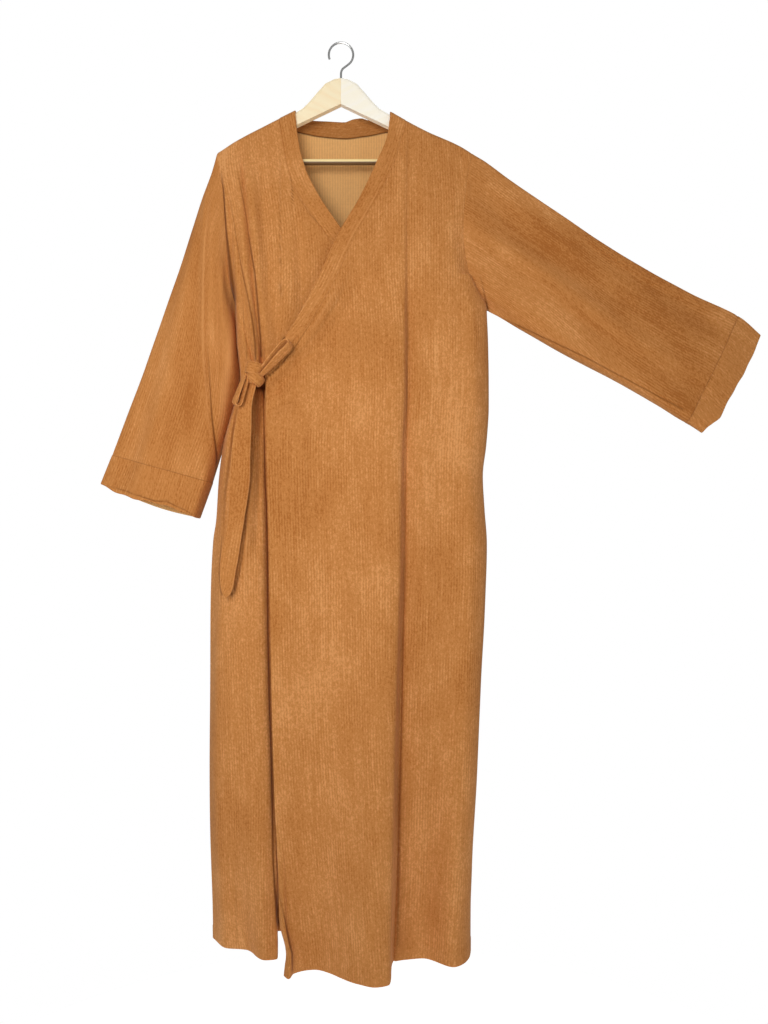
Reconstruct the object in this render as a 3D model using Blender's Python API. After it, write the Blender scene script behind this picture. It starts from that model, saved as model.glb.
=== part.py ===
"""A wrap abaya of wide-wale corduroy, hanging on a wooden hanger.

Metres, +Z up. The front faces -Y, and +X is at the right of someone who looks at the front. The origin is the
underside of the hook's crown, where a rail carries it. Left and right in names are the wearer's, so the left
front is at +X and wraps over the right front.
"""

import math

import bmesh
import bpy
import numpy as np

CLOTH_WALL = 0.0020
BAND_WALL = 0.0030
TIE_WALL = 0.0040
SEAM_GAP = 0.0003
NECK_SEAM_GAP = 0.0005
HALF_GAP = SEAM_GAP / 2

# The cloth turns over the hanger's arms in a quarter circle, front and back.
SHOULDER_ROLL = 0.0092
ROLL_ANGLES = (0.0, 30.0, 60.0, 90.0)

SHOULDER_TOP_DROP = 0.1878
YOKE_DROP = SHOULDER_TOP_DROP + SHOULDER_ROLL
UNDERARM_DROP = 0.4525
WAIST_DROP = 0.5750
HEM_DROP = 1.5500

# Drops below the origin, along the side edges, where the panels have a row of points.
ARMHOLE_DROPS = (YOKE_DROP, 0.222, 0.255, 0.290, 0.325, 0.360, 0.395, 0.425, UNDERARM_DROP)
SKIRT_DROPS = (0.49, 0.53, WAIST_DROP, 0.63, 0.69, 0.75, 0.82, 0.90, 1.0, 1.1, 1.2, 1.3, 1.37, 1.43, 1.49, HEM_DROP)
ALL_DROPS = ARMHOLE_DROPS + SKIRT_DROPS

OVER_FRONT_COLUMNS = 26
# Extra columns close to the left front's free edge, as shares of its width.
EDGE_SHARES = (0.010, 0.021, 0.032)
UNDER_FRONT_COLUMNS = 20
SHOULDER_COLUMNS = 5
NECK_COLUMNS = 12

HANGER_HALF_DEPTH = 0.0060
BAR_RADIUS = 0.0050
BAR_DROP = 0.2015
HOOK_WIRE_RADIUS = 0.0018
HOOK_INNER_RADIUS = 0.0190
# Where the bar's ends meet the arms' tips.
BAR_SOCKET_X = 0.1765
KNOT_CLEARANCE = 0.00036

# Finishes: colour, roughness and metallic value.
CORDUROY = ((0.55, 0.23, 0.07), 0.85, 0.0)
WOOD = ((0.85, 0.66, 0.40), 0.45, 0.0)
STEEL = ((0.62, 0.62, 0.60), 0.30, 1.0)


def table(columns, *rows):
    """The rows as one array for each named column."""
    return dict(zip(columns.split(), np.array(rows, float).T))


SHOULDER = table(
    "x z",
    (-0.2085, -0.1878),
    (-0.1870, -0.1737),
    (-0.1428, -0.1492),
    (-0.1037, -0.1290),
    (-0.0765, -0.1155),
    (0.0833, -0.1175),
    (0.1095, -0.1322),
    (0.1500, -0.1530),
    (0.2006, -0.1755),
    (0.2205, -0.1878),
)

# Each side edge: armhole down to the underarm, then side seam. Open is half the armhole's depth there.
LEFT_SIDE = table(
    "drop x y open",
    (0.1970, 0.2205, 0.0, 0.0092),
    (0.2550, 0.2100, 0.0, 0.0170),
    (0.3250, 0.2055, 0.0, 0.0220),
    (0.3950, 0.2150, 0.0, 0.0200),
    (0.4250, 0.2290, 0.0, 0.0130),
    (0.4525, 0.2460, 0.0, 0.0),
    (0.5750, 0.2502, 0.0, 0.0),
    (0.6200, 0.2502, 0.0, 0.0),
    (0.6800, 0.2465, 0.0, 0.0),
    (0.7350, 0.2404, 0.0, 0.0),
    (0.7900, 0.2432, 0.0, 0.0),
    (0.8500, 0.2472, 0.0, 0.0),
    (0.9450, 0.2445, 0.0, 0.0),
    (1.0800, 0.2375, 0.0, 0.0),
    (1.2500, 0.2302, 0.0, 0.0),
    (1.4000, 0.2220, 0.0, 0.0),
    (1.4700, 0.2208, 0.010, 0.0),
    (1.5500, 0.2212, 0.018, 0.0),
)
RIGHT_SIDE = table(
    "drop x y open",
    (0.1970, -0.2085, 0.0, 0.0092),
    (0.2600, -0.1975, 0.0, 0.0150),
    (0.3300, -0.1927, 0.0, 0.0180),
    (0.3950, -0.1890, 0.0, 0.0160),
    (0.4250, -0.1845, 0.0, 0.0100),
    (0.4525, -0.1800, 0.0, 0.0),
    (0.5100, -0.1765, 0.0, 0.0),
    (0.5750, -0.1695, 0.0, 0.0),
    (0.6200, -0.1825, 0.0, 0.0),
    (0.6800, -0.1990, 0.0, 0.0),
    (0.7400, -0.2070, 0.0, 0.0),
    (0.8100, -0.2115, 0.0, 0.0),
    (0.8450, -0.2166, 0.0, 0.0),
    (0.9450, -0.2217, 0.004, 0.0),
    (1.0840, -0.2241, 0.012, 0.0),
    (1.2600, -0.2272, 0.022, 0.0),
    (1.3500, -0.2278, 0.030, 0.0),
    (1.4700, -0.2275, 0.047, 0.0),
    (1.5500, -0.2287, 0.0603, 0.0),
)

# Sections across the left front, from its front edge to the side: z_in and edge are where it starts, curl is how
# far that edge turns back, dip a soft hollow, rise to brow the long pleat with its crease, flat and ridge the side.
OVER_FRONT = table(
    "drop z_in x_edge y_edge curl x_dip y_dip x_rise y_rise x_crest y_crest x_brow y_brow x_crease y_crease"
    " y_flat y_ridge",
    (0.1970, -0.1414, 0.1095, -0.0092, 0, 0.1100, -0.0092, 0.1105, -0.0093, 0.1115, -0.0094, 0.1125, -0.0096,
     0.1142, -0.0090, -0.0094, -0.0093),
    (0.2550, -0.2260, 0.0832, -0.0200, 0, 0.0910, -0.0200, 0.0980, -0.0212, 0.1050, -0.0235, 0.1095, -0.0225,
     0.1126, -0.0170, -0.0210, -0.0200),
    (0.3350, -0.3439, 0.0221, -0.0380, 0, 0.0550, -0.0345, 0.0780, -0.0345, 0.1000, -0.0365, 0.1070, -0.0355,
     0.1124, -0.0270, -0.0340, -0.0310),
    (0.4050, -0.4245, -0.0130, -0.0480, 0, 0.0350, -0.0412, 0.0680, -0.0416, 0.0970, -0.0440, 0.1060, -0.0428,
     0.1124, -0.0330, -0.0410, -0.0380),
    (0.4525, -0.4871, -0.0495, -0.0560, 0, 0.0150, -0.0462, 0.0600, -0.0465, 0.0950, -0.0490, 0.1055, -0.0475,
     0.1124, -0.0370, -0.0450, -0.0430),
    (0.5750, -0.5789, -0.1190, -0.0660, 0, -0.0150, -0.0502, 0.0500, -0.0530, 0.0910, -0.0570, 0.1045, -0.0545,
     0.1128, -0.0410, -0.0480, -0.0460),
    (0.7200, -0.7200, -0.1180, -0.0590, 0, -0.0250, -0.0502, 0.0400, -0.0545, 0.0830, -0.0600, 0.0985, -0.0570,
     0.1075, -0.0400, -0.0460, -0.0440),
    (0.8600, -0.8600, -0.1150, -0.0550, 0, -0.0300, -0.0492, 0.0350, -0.0550, 0.0800, -0.0620, 0.0975, -0.0590,
     0.1071, -0.0370, -0.0430, -0.0440),
    (1.0500, -1.0500, -0.1122, -0.0520, 0, -0.0350, -0.0470, 0.0300, -0.0570, 0.0740, -0.0670, 0.0920, -0.0620,
     0.1018, -0.0330, -0.0370, -0.0420),
    (1.2500, -1.2500, -0.1073, -0.0500, 0, -0.0400, -0.0450, 0.0280, -0.0640, 0.0680, -0.0750, 0.0870, -0.0690,
     0.0965, -0.0280, -0.0290, -0.0400),
    (1.3900, -1.3900, -0.1010, -0.0500, 0.0020, -0.0420, -0.0425, 0.0280, -0.0720, 0.0640, -0.0830, 0.0840, -0.0760,
     0.0935, -0.0240, -0.0190, -0.0390),
    (1.4700, -1.4700, -0.0990, -0.0500, 0.0100, -0.0430, -0.0405, 0.0290, -0.0780, 0.0620, -0.0880, 0.0820, -0.0800,
     0.0905, -0.0200, -0.0130, -0.0380),
    (1.5500, -1.5500, -0.0880, -0.0560, 0.0160, -0.0430, -0.0385, 0.0300, -0.0830, 0.0590, -0.0930, 0.0800, -0.0870,
     0.0875, -0.0190, -0.0075, -0.0365),
)
# Part of the columns that lie between the front edge and the crease, below the waist.
CREASE_SHARE = 0.62
CURL_WIDTH = 0.0045
# The fold beside the overlap: how broad its front is and how far its turn reaches back.
CREST_FLAT = 0.018
CREST_TURN = 0.005

# Sections across the right front, from the side to its inner edge: flank and ridge are the soft fold that shows,
# crest the fold beside the overlap, and back the stretch that turns away behind it.
UNDER_FRONT = table(
    "drop z_in x_in y_in x_flank y_flank x_ridge y_ridge x_crest y_crest x_back y_back",
    (0.1970, -0.1382, -0.1037, -0.0092, -0.1950, -0.0092, -0.1800, -0.0092, -0.1480, -0.0093, -0.1250, -0.0092),
    (0.2550, -0.2303, -0.0847, -0.0180, -0.1870, -0.0190, -0.1720, -0.0200, -0.1380, -0.0210, -0.1110, -0.0200),
    (0.3350, -0.3184, -0.0341, -0.0280, -0.1820, -0.0260, -0.1680, -0.0280, -0.1250, -0.0330, -0.0800, -0.0310),
    (0.4050, -0.3850, 0.0180, -0.0280, -0.1790, -0.0300, -0.1660, -0.0340, -0.1200, -0.0420, -0.0500, -0.0340),
    (0.4525, -0.4400, 0.0650, -0.0260, -0.1740, -0.0300, -0.1640, -0.0360, -0.1200, -0.0470, -0.0300, -0.0350),
    (0.5750, -0.5600, 0.1500, -0.0200, -0.1640, -0.0300, -0.1560, -0.0380, -0.1230, -0.0500, 0.0, -0.0350),
    (0.6800, -0.6800, 0.1500, -0.0170, -0.1860, -0.0300, -0.1640, -0.0400, -0.1220, -0.0480, 0.0, -0.0300),
    (0.8600, -0.8600, 0.1450, -0.0080, -0.1900, -0.0320, -0.1545, -0.0440, -0.1165, -0.0440, -0.0200, -0.0220),
    (1.0500, -1.0500, 0.1250, 0.0130, -0.2000, -0.0270, -0.1650, -0.0390, -0.1135, -0.0410, -0.0450, -0.0040),
    (1.2500, -1.2500, 0.0950, 0.0430, -0.2080, -0.0130, -0.1766, -0.0280, -0.1090, -0.0360, -0.0900, 0.0300),
    (1.3700, -1.3700, 0.0700, 0.0680, -0.2060, 0.0010, -0.1755, -0.0120, -0.1080, -0.0300, -0.1100, 0.0580),
    (1.4700, -1.4700, 0.0500, 0.0775, -0.2020, 0.0130, -0.1720, 0.0040, -0.1067, -0.0230, -0.1170, 0.0760),
    (1.5500, -1.5500, 0.0300, 0.0865, -0.1980, 0.0250, -0.1640, 0.0195, -0.1080, -0.0155, -0.1210, 0.0860),
)
CREST_SHARE = 0.62

# Depth of the back at four places across, shares of its width from the wearer's right side.
BACK_SHARES = (0.14, 0.38, 0.62, 0.86)
BACK = table(
    "drop y_1 y_2 y_3 y_4",
    (0.1970, 0.0092, 0.0300, 0.0300, 0.0092),
    (0.2550, 0.0200, 0.0330, 0.0320, 0.0200),
    (0.3350, 0.0280, 0.0380, 0.0360, 0.0280),
    (0.4525, 0.0340, 0.0450, 0.0420, 0.0360),
    (0.5750, 0.0380, 0.0520, 0.0460, 0.0400),
    (0.8600, 0.0460, 0.0660, 0.0540, 0.0440),
    (1.1000, 0.0640, 0.0840, 0.0660, 0.0560),
    (1.3500, 0.0860, 0.1020, 0.0800, 0.0720),
    (1.5500, 0.1040, 0.1160, 0.0880, 0.0800),
)

# The back neck, from the wearer's right shoulder to the left: the seam with the back and the band's top edge.
BACK_NECK = table(
    "share x_seam y_seam z_seam x_top y_top z_top",
    (0.000, -0.1037, 0.0092, -0.1382, -0.0765, 0.0092, -0.1247),
    (0.125, -0.0900, 0.0190, -0.1388, -0.0690, 0.0200, -0.1205),
    (0.250, -0.0766, 0.0260, -0.1395, -0.0560, 0.0270, -0.1180),
    (0.375, -0.0400, 0.0300, -0.1455, -0.0300, 0.0310, -0.1180),
    (0.500, 0.0070, 0.0310, -0.1490, 0.0070, 0.0320, -0.1193),
    (0.625, 0.0450, 0.0300, -0.1450, 0.0400, 0.0310, -0.1165),
    (0.750, 0.0795, 0.0260, -0.1395, 0.0620, 0.0270, -0.1165),
    (0.875, 0.0950, 0.0190, -0.1405, 0.0755, 0.0200, -0.1215),
    (1.000, 0.1095, 0.0092, -0.1414, 0.0833, 0.0092, -0.1267),
)

# The free edges of the two front bands, at the drops of their seams.
OVER_BAND = table(
    "drop x z",
    (0.1970, 0.0833, -0.1267),
    (0.2220, 0.0790, -0.1600),
    (0.2550, 0.0590, -0.2120),
    (0.2900, 0.0300, -0.2750),
    (0.3350, -0.0020, -0.3330),
    (0.3950, -0.0330, -0.4050),
    (0.4525, -0.0690, -0.4780),
    (0.5300, -0.0990, -0.5260),
    (0.5750, -0.1230, -0.5600),
)
UNDER_BAND = table(
    "drop x z",
    (0.1970, -0.0765, -0.1247),
    (0.2220, -0.0710, -0.1700),
    (0.2550, -0.0600, -0.2150),
    (0.2900, -0.0370, -0.2640),
    (0.3350, -0.0120, -0.3030),
    (0.3950, 0.0310, -0.3600),
    (0.4525, 0.0840, -0.4220),
    (0.5750, 0.1690, -0.5450),
)

# Sleeves: top fold, underarm fold, where the front is fullest (share from the top), depths and the back's sag.
SLEEVE_LEFT = table(
    "s x_top z_top x_low y_low z_low crest front back sag",
    (0.00, 0.2205, -0.1878, 0.2460, 0.0, -0.4525, 0.60, 0.0220, 0.0220, 0.0),
    (0.06, 0.2400, -0.1989, 0.2620, 0.0, -0.4603, 0.64, 0.0220, 0.0210, 0.0),
    (0.15, 0.2856, -0.2326, 0.3060, 0.004, -0.4850, 0.74, 0.0220, 0.0200, 0.0),
    (0.35, 0.3876, -0.3004, 0.3850, 0.006, -0.5290, 0.84, 0.0230, 0.0180, 0.0),
    (0.55, 0.4913, -0.3685, 0.4640, 0.008, -0.5697, 0.86, 0.0220, 0.0160, 0.0),
    (0.75, 0.5930, -0.4250, 0.5400, 0.006, -0.6136, 0.86, 0.0200, 0.0140, 0.0),
    (0.90, 0.6740, -0.4640, 0.5870, 0.004, -0.6430, 0.84, 0.0160, 0.0120, 0.0),
    (1.00, 0.7125, -0.4970, 0.6290, 0.0, -0.6600, 0.70, 0.0120, 0.0100, 0.002),
)
SLEEVE_RIGHT = table(
    "s x_top z_top x_low y_low z_low crest front back sag",
    (0.00, -0.2085, -0.1878, -0.1800, 0.0, -0.4525, 0.60, 0.0180, 0.0180, 0.0),
    (0.06, -0.2173, -0.2170, -0.1815, 0.006, -0.4700, 0.60, 0.0230, 0.0190, 0.0),
    (0.15, -0.2351, -0.2650, -0.1775, 0.014, -0.5000, 0.60, 0.0300, 0.0200, 0.0),
    (0.35, -0.2795, -0.4016, -0.1700, 0.026, -0.5650, 0.62, 0.0380, 0.0220, 0.0),
    (0.55, -0.3202, -0.5180, -0.1840, 0.034, -0.6250, 0.68, 0.0420, 0.0250, 0.0),
    (0.75, -0.3598, -0.6260, -0.2010, 0.036, -0.6850, 0.82, 0.0420, 0.0280, 0.002),
    (0.90, -0.3875, -0.6991, -0.2165, 0.024, -0.7450, 0.90, 0.0400, 0.0300, 0.006),
    (1.00, -0.4075, -0.7490, -0.2390, 0.012, -0.8040, 0.90, 0.0380, 0.0300, 0.012),
)
CUFF_SEAM = 0.90
SLEEVE_STEPS = 12
CUFF_STEPS = 3
ARMHOLE_BLEND = 0.30

# Ridges (depth above 0) and grooves (below 0) on the fronts: a line from one end to the other, seen from the
# front, with its half width and its depth at each end.
RIGHT_FRONT_FOLDS = table(
    "x_1 z_1 x_2 z_2 width_1 width_2 depth_1 depth_2",
    (-0.1900, -0.2450, -0.1480, -0.5450, 0.0080, 0.0055, 0.0040, 0.0100),
    (-0.1712, -0.2600, -0.1418, -0.5500, 0.0055, 0.0045, -0.0050, -0.0090),
    (-0.1640, -0.2600, -0.1340, -0.5450, 0.0070, 0.0050, 0.0050, 0.0100),
    (-0.1560, -0.2500, -0.1270, -0.5400, 0.0060, 0.0050, -0.0070, -0.0120),
    (-0.1440, -0.2700, -0.1180, -0.5300, 0.0120, 0.0080, 0.0040, 0.0060),
    (-0.1200, -0.3000, -0.1080, -0.5000, 0.0140, 0.0100, -0.0030, -0.0040),
)
LEFT_FRONT_FOLDS = table(
    "x_1 z_1 x_2 z_2 width_1 width_2 depth_1 depth_2",
    (-0.1000, -0.5850, 0.0400, -0.4450, 0.0100, 0.0200, -0.0060, -0.0040),
    (-0.0950, -0.6150, 0.0600, -0.5000, 0.0140, 0.0260, 0.0040, 0.0040),
    (0.1650, -0.5600, 0.1600, -0.8600, 0.0200, 0.0240, -0.0040, -0.0030),
)

# The knot, its two loops and the long end.
KNOT_CENTRE = (-0.1330, -0.0745, -0.5725)
KNOT_HALF_SIZE = (0.0155, 0.0125, 0.0215)
# A loop of the bow from the knot, along its one strand, round its tip and back: distances along and aside of its
# axis, and the strand's half width.
LOOP = table(
    "along aside half_width",
    (-0.0120, 0.0038, 0.0032),
    (0.0000, 0.0043, 0.0036),
    (0.0200, 0.0070, 0.0046),
    (0.0400, 0.0082, 0.0050),
    (0.0530, 0.0064, 0.0050),
    (0.0580, 0.0000, 0.0048),
    (0.0530, -0.0064, 0.0050),
    (0.0400, -0.0082, 0.0050),
    (0.0200, -0.0070, 0.0046),
    (0.0000, -0.0043, 0.0036),
    (-0.0120, -0.0038, 0.0032),
)
LOOP_DEPTH = 0.0070
LONG_LOOP_ROOT = (-0.1189, -0.0800, -0.5664)
LONG_LOOP_WAY = (0.675, 0.0, 0.738)
SHORT_LOOP_ROOT = (-0.1450, -0.0800, -0.5880)
SHORT_LOOP_WAY = (-0.420, 0.0, -0.907)
SHORT_LOOP_SCALE = (0.72, 0.90)
TIE_END = table(
    "x y z half_width",
    (-0.1370, -0.0720, -0.5850, 0.0075),
    (-0.1455, -0.0715, -0.6150, 0.0086),
    (-0.1499, -0.0705, -0.6500, 0.0113),
    (-0.1543, -0.0690, -0.7050, 0.0150),
    (-0.1601, -0.0670, -0.7600, 0.0151),
    (-0.1668, -0.0650, -0.8200, 0.0150),
    (-0.1786, -0.0630, -0.8880, 0.0131),
    (-0.1823, -0.0620, -0.9130, 0.0108),
    (-0.1817, -0.0620, -0.9280, 0.0070),
    (-0.1806, -0.0620, -0.9345, 0.0036),
)

# One half of the hanger's outline, from the top of its middle round the arm and back along the underside.
HANGER_OUTLINE = table(
    "x z",
    (0.0000, -0.0616),
    (0.0150, -0.0630),
    (0.0270, -0.0690),
    (0.0340, -0.0770),
    (0.0415, -0.0853),
    (0.0540, -0.1000),
    (0.0650, -0.1110),
    (0.0765, -0.1180),
    (0.1037, -0.1316),
    (0.1850, -0.1750),
    (0.1960, -0.1845),
    (0.2025, -0.1925),
    (0.2030, -0.2010),
    (0.1985, -0.2070),
    (0.1900, -0.2095),
    (BAR_SOCKET_X, -0.2090),
    (BAR_SOCKET_X, -0.1935),
    (0.1640, -0.1834),
    (0.0000, -0.1050),
)
HANGER_BEVEL = 0.0045


def smooth(knots, values, at):
    """Values read between the knots on a curve that doesn't overshoot them."""
    knots = np.asarray(knots, float)
    values = np.asarray(values, float)
    at = np.clip(np.asarray(at, float), knots[0], knots[-1])
    step = np.diff(knots)
    rise = np.diff(values) / step
    slope = np.empty_like(values)
    slope[0] = rise[0]
    slope[-1] = rise[-1]
    same_way = rise[:-1] * rise[1:] > 0
    both = np.where(same_way, rise[:-1] + rise[1:], 1.0)
    slope[1:-1] = np.where(same_way, 2 * rise[:-1] * rise[1:] / both, 0.0)
    cell = np.clip(np.searchsorted(knots, at, side="right") - 1, 0, len(step) - 1)
    part = (at - knots[cell]) / step[cell]
    early = (1 + 2 * part) * (1 - part) ** 2 * values[cell] + part * (1 - part) ** 2 * step[cell] * slope[cell]
    late = part**2 * (3 - 2 * part) * values[cell + 1] + part**2 * (part - 1) * step[cell] * slope[cell + 1]
    return early + late


def read(section_table, knot_column, at):
    """Every column of a table, read at one place."""
    knots = section_table[knot_column]
    return {name: float(smooth(knots, column, at)) for name, column in section_table.items()}


def ease(share):
    """0 to 1, flat at both ends."""
    share = np.clip(share, 0.0, 1.0)
    return share * share * (3 - 2 * share)


def shoulder_height(x):
    return smooth(SHOULDER["x"], SHOULDER["z"], x)


def unit(vectors):
    return vectors / np.linalg.norm(vectors, axis=-1, keepdims=True)


def through(points, count=160):
    """Points close together along a smooth curve through a few points."""
    points = np.asarray(points, float)
    along = np.concatenate([[0.0], np.cumsum(np.linalg.norm(np.diff(points, axis=0), axis=1))])
    at = np.linspace(0.0, along[-1], count)
    return np.stack([smooth(along, points[:, axis], at) for axis in range(points.shape[1])], axis=1)


def lengths_along(points):
    return np.concatenate([[0.0], np.cumsum(np.linalg.norm(np.diff(points, axis=0), axis=1))])


def resample(points, shares, mark=None, mark_share=None):
    """Points at the given shares of a curve's length. The point at the index mark gets mark_share."""
    along = lengths_along(points)
    if mark is None:
        at = np.asarray(shares) * along[-1]
    else:
        at = np.interp(shares, (0.0, mark_share, 1.0), (0.0, along[mark], along[-1]))
    return np.stack([np.interp(at, along, points[:, axis]) for axis in range(3)], axis=1)


def with_folds(points, folds):
    """The points moved forward on each ridge and back in each groove."""
    points = points.copy()
    names = ("x_1", "z_1", "x_2", "z_2", "width_1", "width_2", "depth_1", "depth_2")
    for x_1, z_1, x_2, z_2, width_1, width_2, depth_1, depth_2 in zip(*(folds[name] for name in names)):
        run = np.array([x_2 - x_1, z_2 - z_1])
        length = math.hypot(*run)
        run = run / length
        offset_x = points[:, 0] - x_1
        offset_z = points[:, 2] - z_1
        share = (offset_x * run[0] + offset_z * run[1]) / length
        aside = offset_x * run[1] - offset_z * run[0]
        inside = np.clip(share, 0.0, 1.0)
        width = width_1 + (width_2 - width_1) * inside
        depth = depth_1 + (depth_2 - depth_1) * inside
        fade = ease(1 + 4 * share) * ease(1 + 4 * (1 - share))
        points[:, 1] -= depth * fade * np.exp(-((aside / width) ** 2))
    return points


def side_point(side, drop, face):
    """The side edge of a panel; face is -1 on the front and 1 on the back."""
    here = read(side, "drop", drop)
    return np.array([here["x"], here["y"] + face * max(here["open"], HALF_GAP), -drop])


def sloped(points, z_first, z_last):
    """Heights for a section: a straight slope by x between its two ends."""
    share = (points[:, 0] - points[0, 0]) / (points[-1, 0] - points[0, 0])
    return z_first + (z_last - z_first) * np.clip(share, 0.0, 1.0)


def on_shoulder(points, drop):
    """Heights bent to the shoulder line at the yoke, and left alone lower down."""
    yoke = shoulder_height(points[:, 0]) - SHOULDER_ROLL
    share = (points[:, 0] - points[0, 0]) / (points[-1, 0] - points[0, 0])
    straight = yoke[0] + (yoke[-1] - yoke[0]) * share
    fade = ease(1 - (drop - YOKE_DROP) / 0.09)
    points[:, 2] += (yoke - straight) * fade
    return points


def over_front_section(drop, shares):
    here = read(OVER_FRONT, "drop", drop)
    side = side_point(LEFT_SIDE, drop, -1)
    width = side[0] - here["x_crease"]
    turn = 0.004 * ease((drop - 0.40) / 0.08)
    slope = (here["y_dip"] - here["y_edge"]) / (here["x_dip"] - here["x_edge"])
    controls = [
        (here["x_edge"], here["y_edge"]),
        (here["x_edge"] + CURL_WIDTH, here["y_edge"] + slope * CURL_WIDTH - here["curl"]),
        (here["x_edge"] + 2 * CURL_WIDTH, here["y_edge"] + 2 * slope * CURL_WIDTH),
        *((here["x_" + name], here["y_" + name]) for name in ("dip", "rise", "crest", "brow")),
        (here["x_crease"], here["y_crease"]),
        (here["x_crease"] + 0.38 * width, here["y_flat"]),
        (here["x_crease"] + 0.76 * width, here["y_ridge"]),
        (side[0] - turn, 0.45 * here["y_ridge"] + 0.55 * side[1]),
        (side[0], side[1]),
    ]
    if here["curl"] < 1e-4:
        del controls[1:3]
    if drop < 0.40:
        del controls[-2]
    flat = through(controls)
    points = np.column_stack([flat, np.zeros(len(flat))])
    points[:, 2] = sloped(points, here["z_in"], -drop)
    points = with_folds(on_shoulder(points, drop), LEFT_FRONT_FOLDS)
    points[0] = (here["x_edge"], here["y_edge"], here["z_in"])
    points[-1] = side
    mark = int(np.argmin(np.abs(points[:, 0] - here["x_crease"])))
    natural = lengths_along(points)[mark] / lengths_along(points)[-1]
    share = natural + (CREASE_SHARE - natural) * ease((drop - UNDERARM_DROP) / 0.15)
    return resample(points, shares, mark, max(share, 0.02))


def under_front_section(drop, shares):
    here = read(UNDER_FRONT, "drop", drop)
    side = side_point(RIGHT_SIDE, drop, -1)
    broad = float(ease((drop - 0.60) / 0.15))
    turned = here["y_crest"] + CREST_TURN * broad
    crest = [(here["x_crest"] - CREST_FLAT * broad, here["y_crest"]), (here["x_crest"], turned)]
    if broad < 0.01:
        del crest[0]
    controls = [
        (side[0], side[1]),
        *((here["x_" + name], here["y_" + name]) for name in ("flank", "ridge")),
        *crest,
        (here["x_back"], here["y_back"]),
        (here["x_in"], here["y_in"]),
    ]
    flat = through(controls)
    points = np.column_stack([flat, np.zeros(len(flat))])
    points[:, 2] = sloped(points, -drop, here["z_in"])
    points = with_folds(on_shoulder(points, drop), RIGHT_FRONT_FOLDS)
    points[0] = side
    points[-1] = (here["x_in"], here["y_in"], here["z_in"])
    gaps = np.hypot(flat[:, 0] - here["x_crest"], flat[:, 1] - turned)
    return resample(points, shares, int(np.argmin(gaps)), CREST_SHARE)


def back_neck_point(share):
    here = read(BACK_NECK, "share", share)
    return np.array([here["x_seam"], here["y_seam"], here["z_seam"]])


def back_section(drop):
    """A row of the back: shoulder columns at both ends, neck columns between."""
    here = read(BACK, "drop", drop)
    right = side_point(RIGHT_SIDE, drop, 1)
    left = side_point(LEFT_SIDE, drop, 1)
    top_x = np.concatenate([
        np.linspace(SHOULDER["x"][0], BACK_NECK["x_seam"][0], SHOULDER_COLUMNS, endpoint=False),
        [back_neck_point(share)[0] for share in np.linspace(0.0, 1.0, NECK_COLUMNS + 1)],
        np.linspace(BACK_NECK["x_seam"][-1], SHOULDER["x"][-1], SHOULDER_COLUMNS + 1)[1:],
    ])
    top_y = np.full(len(top_x), SHOULDER_ROLL)
    top_z = shoulder_height(top_x) - SHOULDER_ROLL
    for index, share in enumerate(np.linspace(0.0, 1.0, NECK_COLUMNS + 1)):
        top_y[SHOULDER_COLUMNS + index], top_z[SHOULDER_COLUMNS + index] = back_neck_point(share)[1:]
    share_at_top = (top_x - top_x[0]) / (top_x[-1] - top_x[0])
    even = np.linspace(0.0, 1.0, len(top_x))
    lower = ease((drop - YOKE_DROP) / (WAIST_DROP - YOKE_DROP))
    share = share_at_top + (even - share_at_top) * lower
    depths = [right[1], *(here[name] for name in ("y_1", "y_2", "y_3", "y_4")), left[1]]
    points = np.empty((len(top_x), 3))
    points[:, 0] = right[0] + (left[0] - right[0]) * share
    points[:, 1] = smooth((0.0, *BACK_SHARES, 1.0), depths, share)
    near_top = ease(1 - (drop - YOKE_DROP) / 0.07)
    points[:, 1] += (top_y - points[:, 1]) * near_top
    down = min(1.0, (drop - YOKE_DROP) / (WAIST_DROP - YOKE_DROP))
    points[:, 2] = top_z + (-WAIST_DROP - top_z) * down if drop < WAIST_DROP else -drop
    points[0] = right
    points[-1] = left
    return points


def rolled(yoke_row, face):
    """The rows that carry a panel up from the yoke and over the arm to the shoulder seam."""
    rows = []
    for angle in ROLL_ANGLES[:-1]:
        turn = math.radians(angle)
        row = yoke_row.copy()
        row[:, 1] = face * max(SHOULDER_ROLL * math.sin(turn), HALF_GAP)
        row[:, 2] += SHOULDER_ROLL * math.cos(turn)
        rows.append(row)
    return rows


def panel(section, face):
    rows = [section(drop) for drop in ALL_DROPS]
    return np.array(rolled(rows[0], face) + rows)


def wall_directions(grid, outward, closed):
    """The direction of the wall's thickness at each point, square to the surface."""
    if closed:
        ring = np.concatenate([grid[:, -2:-1], grid, grid[:, 1:2]], axis=1)
        along = ring[:, 2:] - ring[:, :-2]
    else:
        along = np.gradient(grid, axis=1)
    directions = np.cross(along, np.gradient(grid, axis=0))
    directions = unit(directions)
    middle = tuple(size // 2 for size in directions.shape[:2])
    if np.dot(directions[middle], outward) < 0:
        directions = -directions
    return directions


def square_to(directions, place, crossing):
    """Directions at an edge turned square to the line that crosses its seam, so the two rims are parallel."""
    part = directions[place]
    crossing = unit(np.broadcast_to(np.asarray(crossing, float), part.shape))
    directions[place] = unit(part - np.sum(part * crossing, axis=-1, keepdims=True) * crossing)


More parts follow.
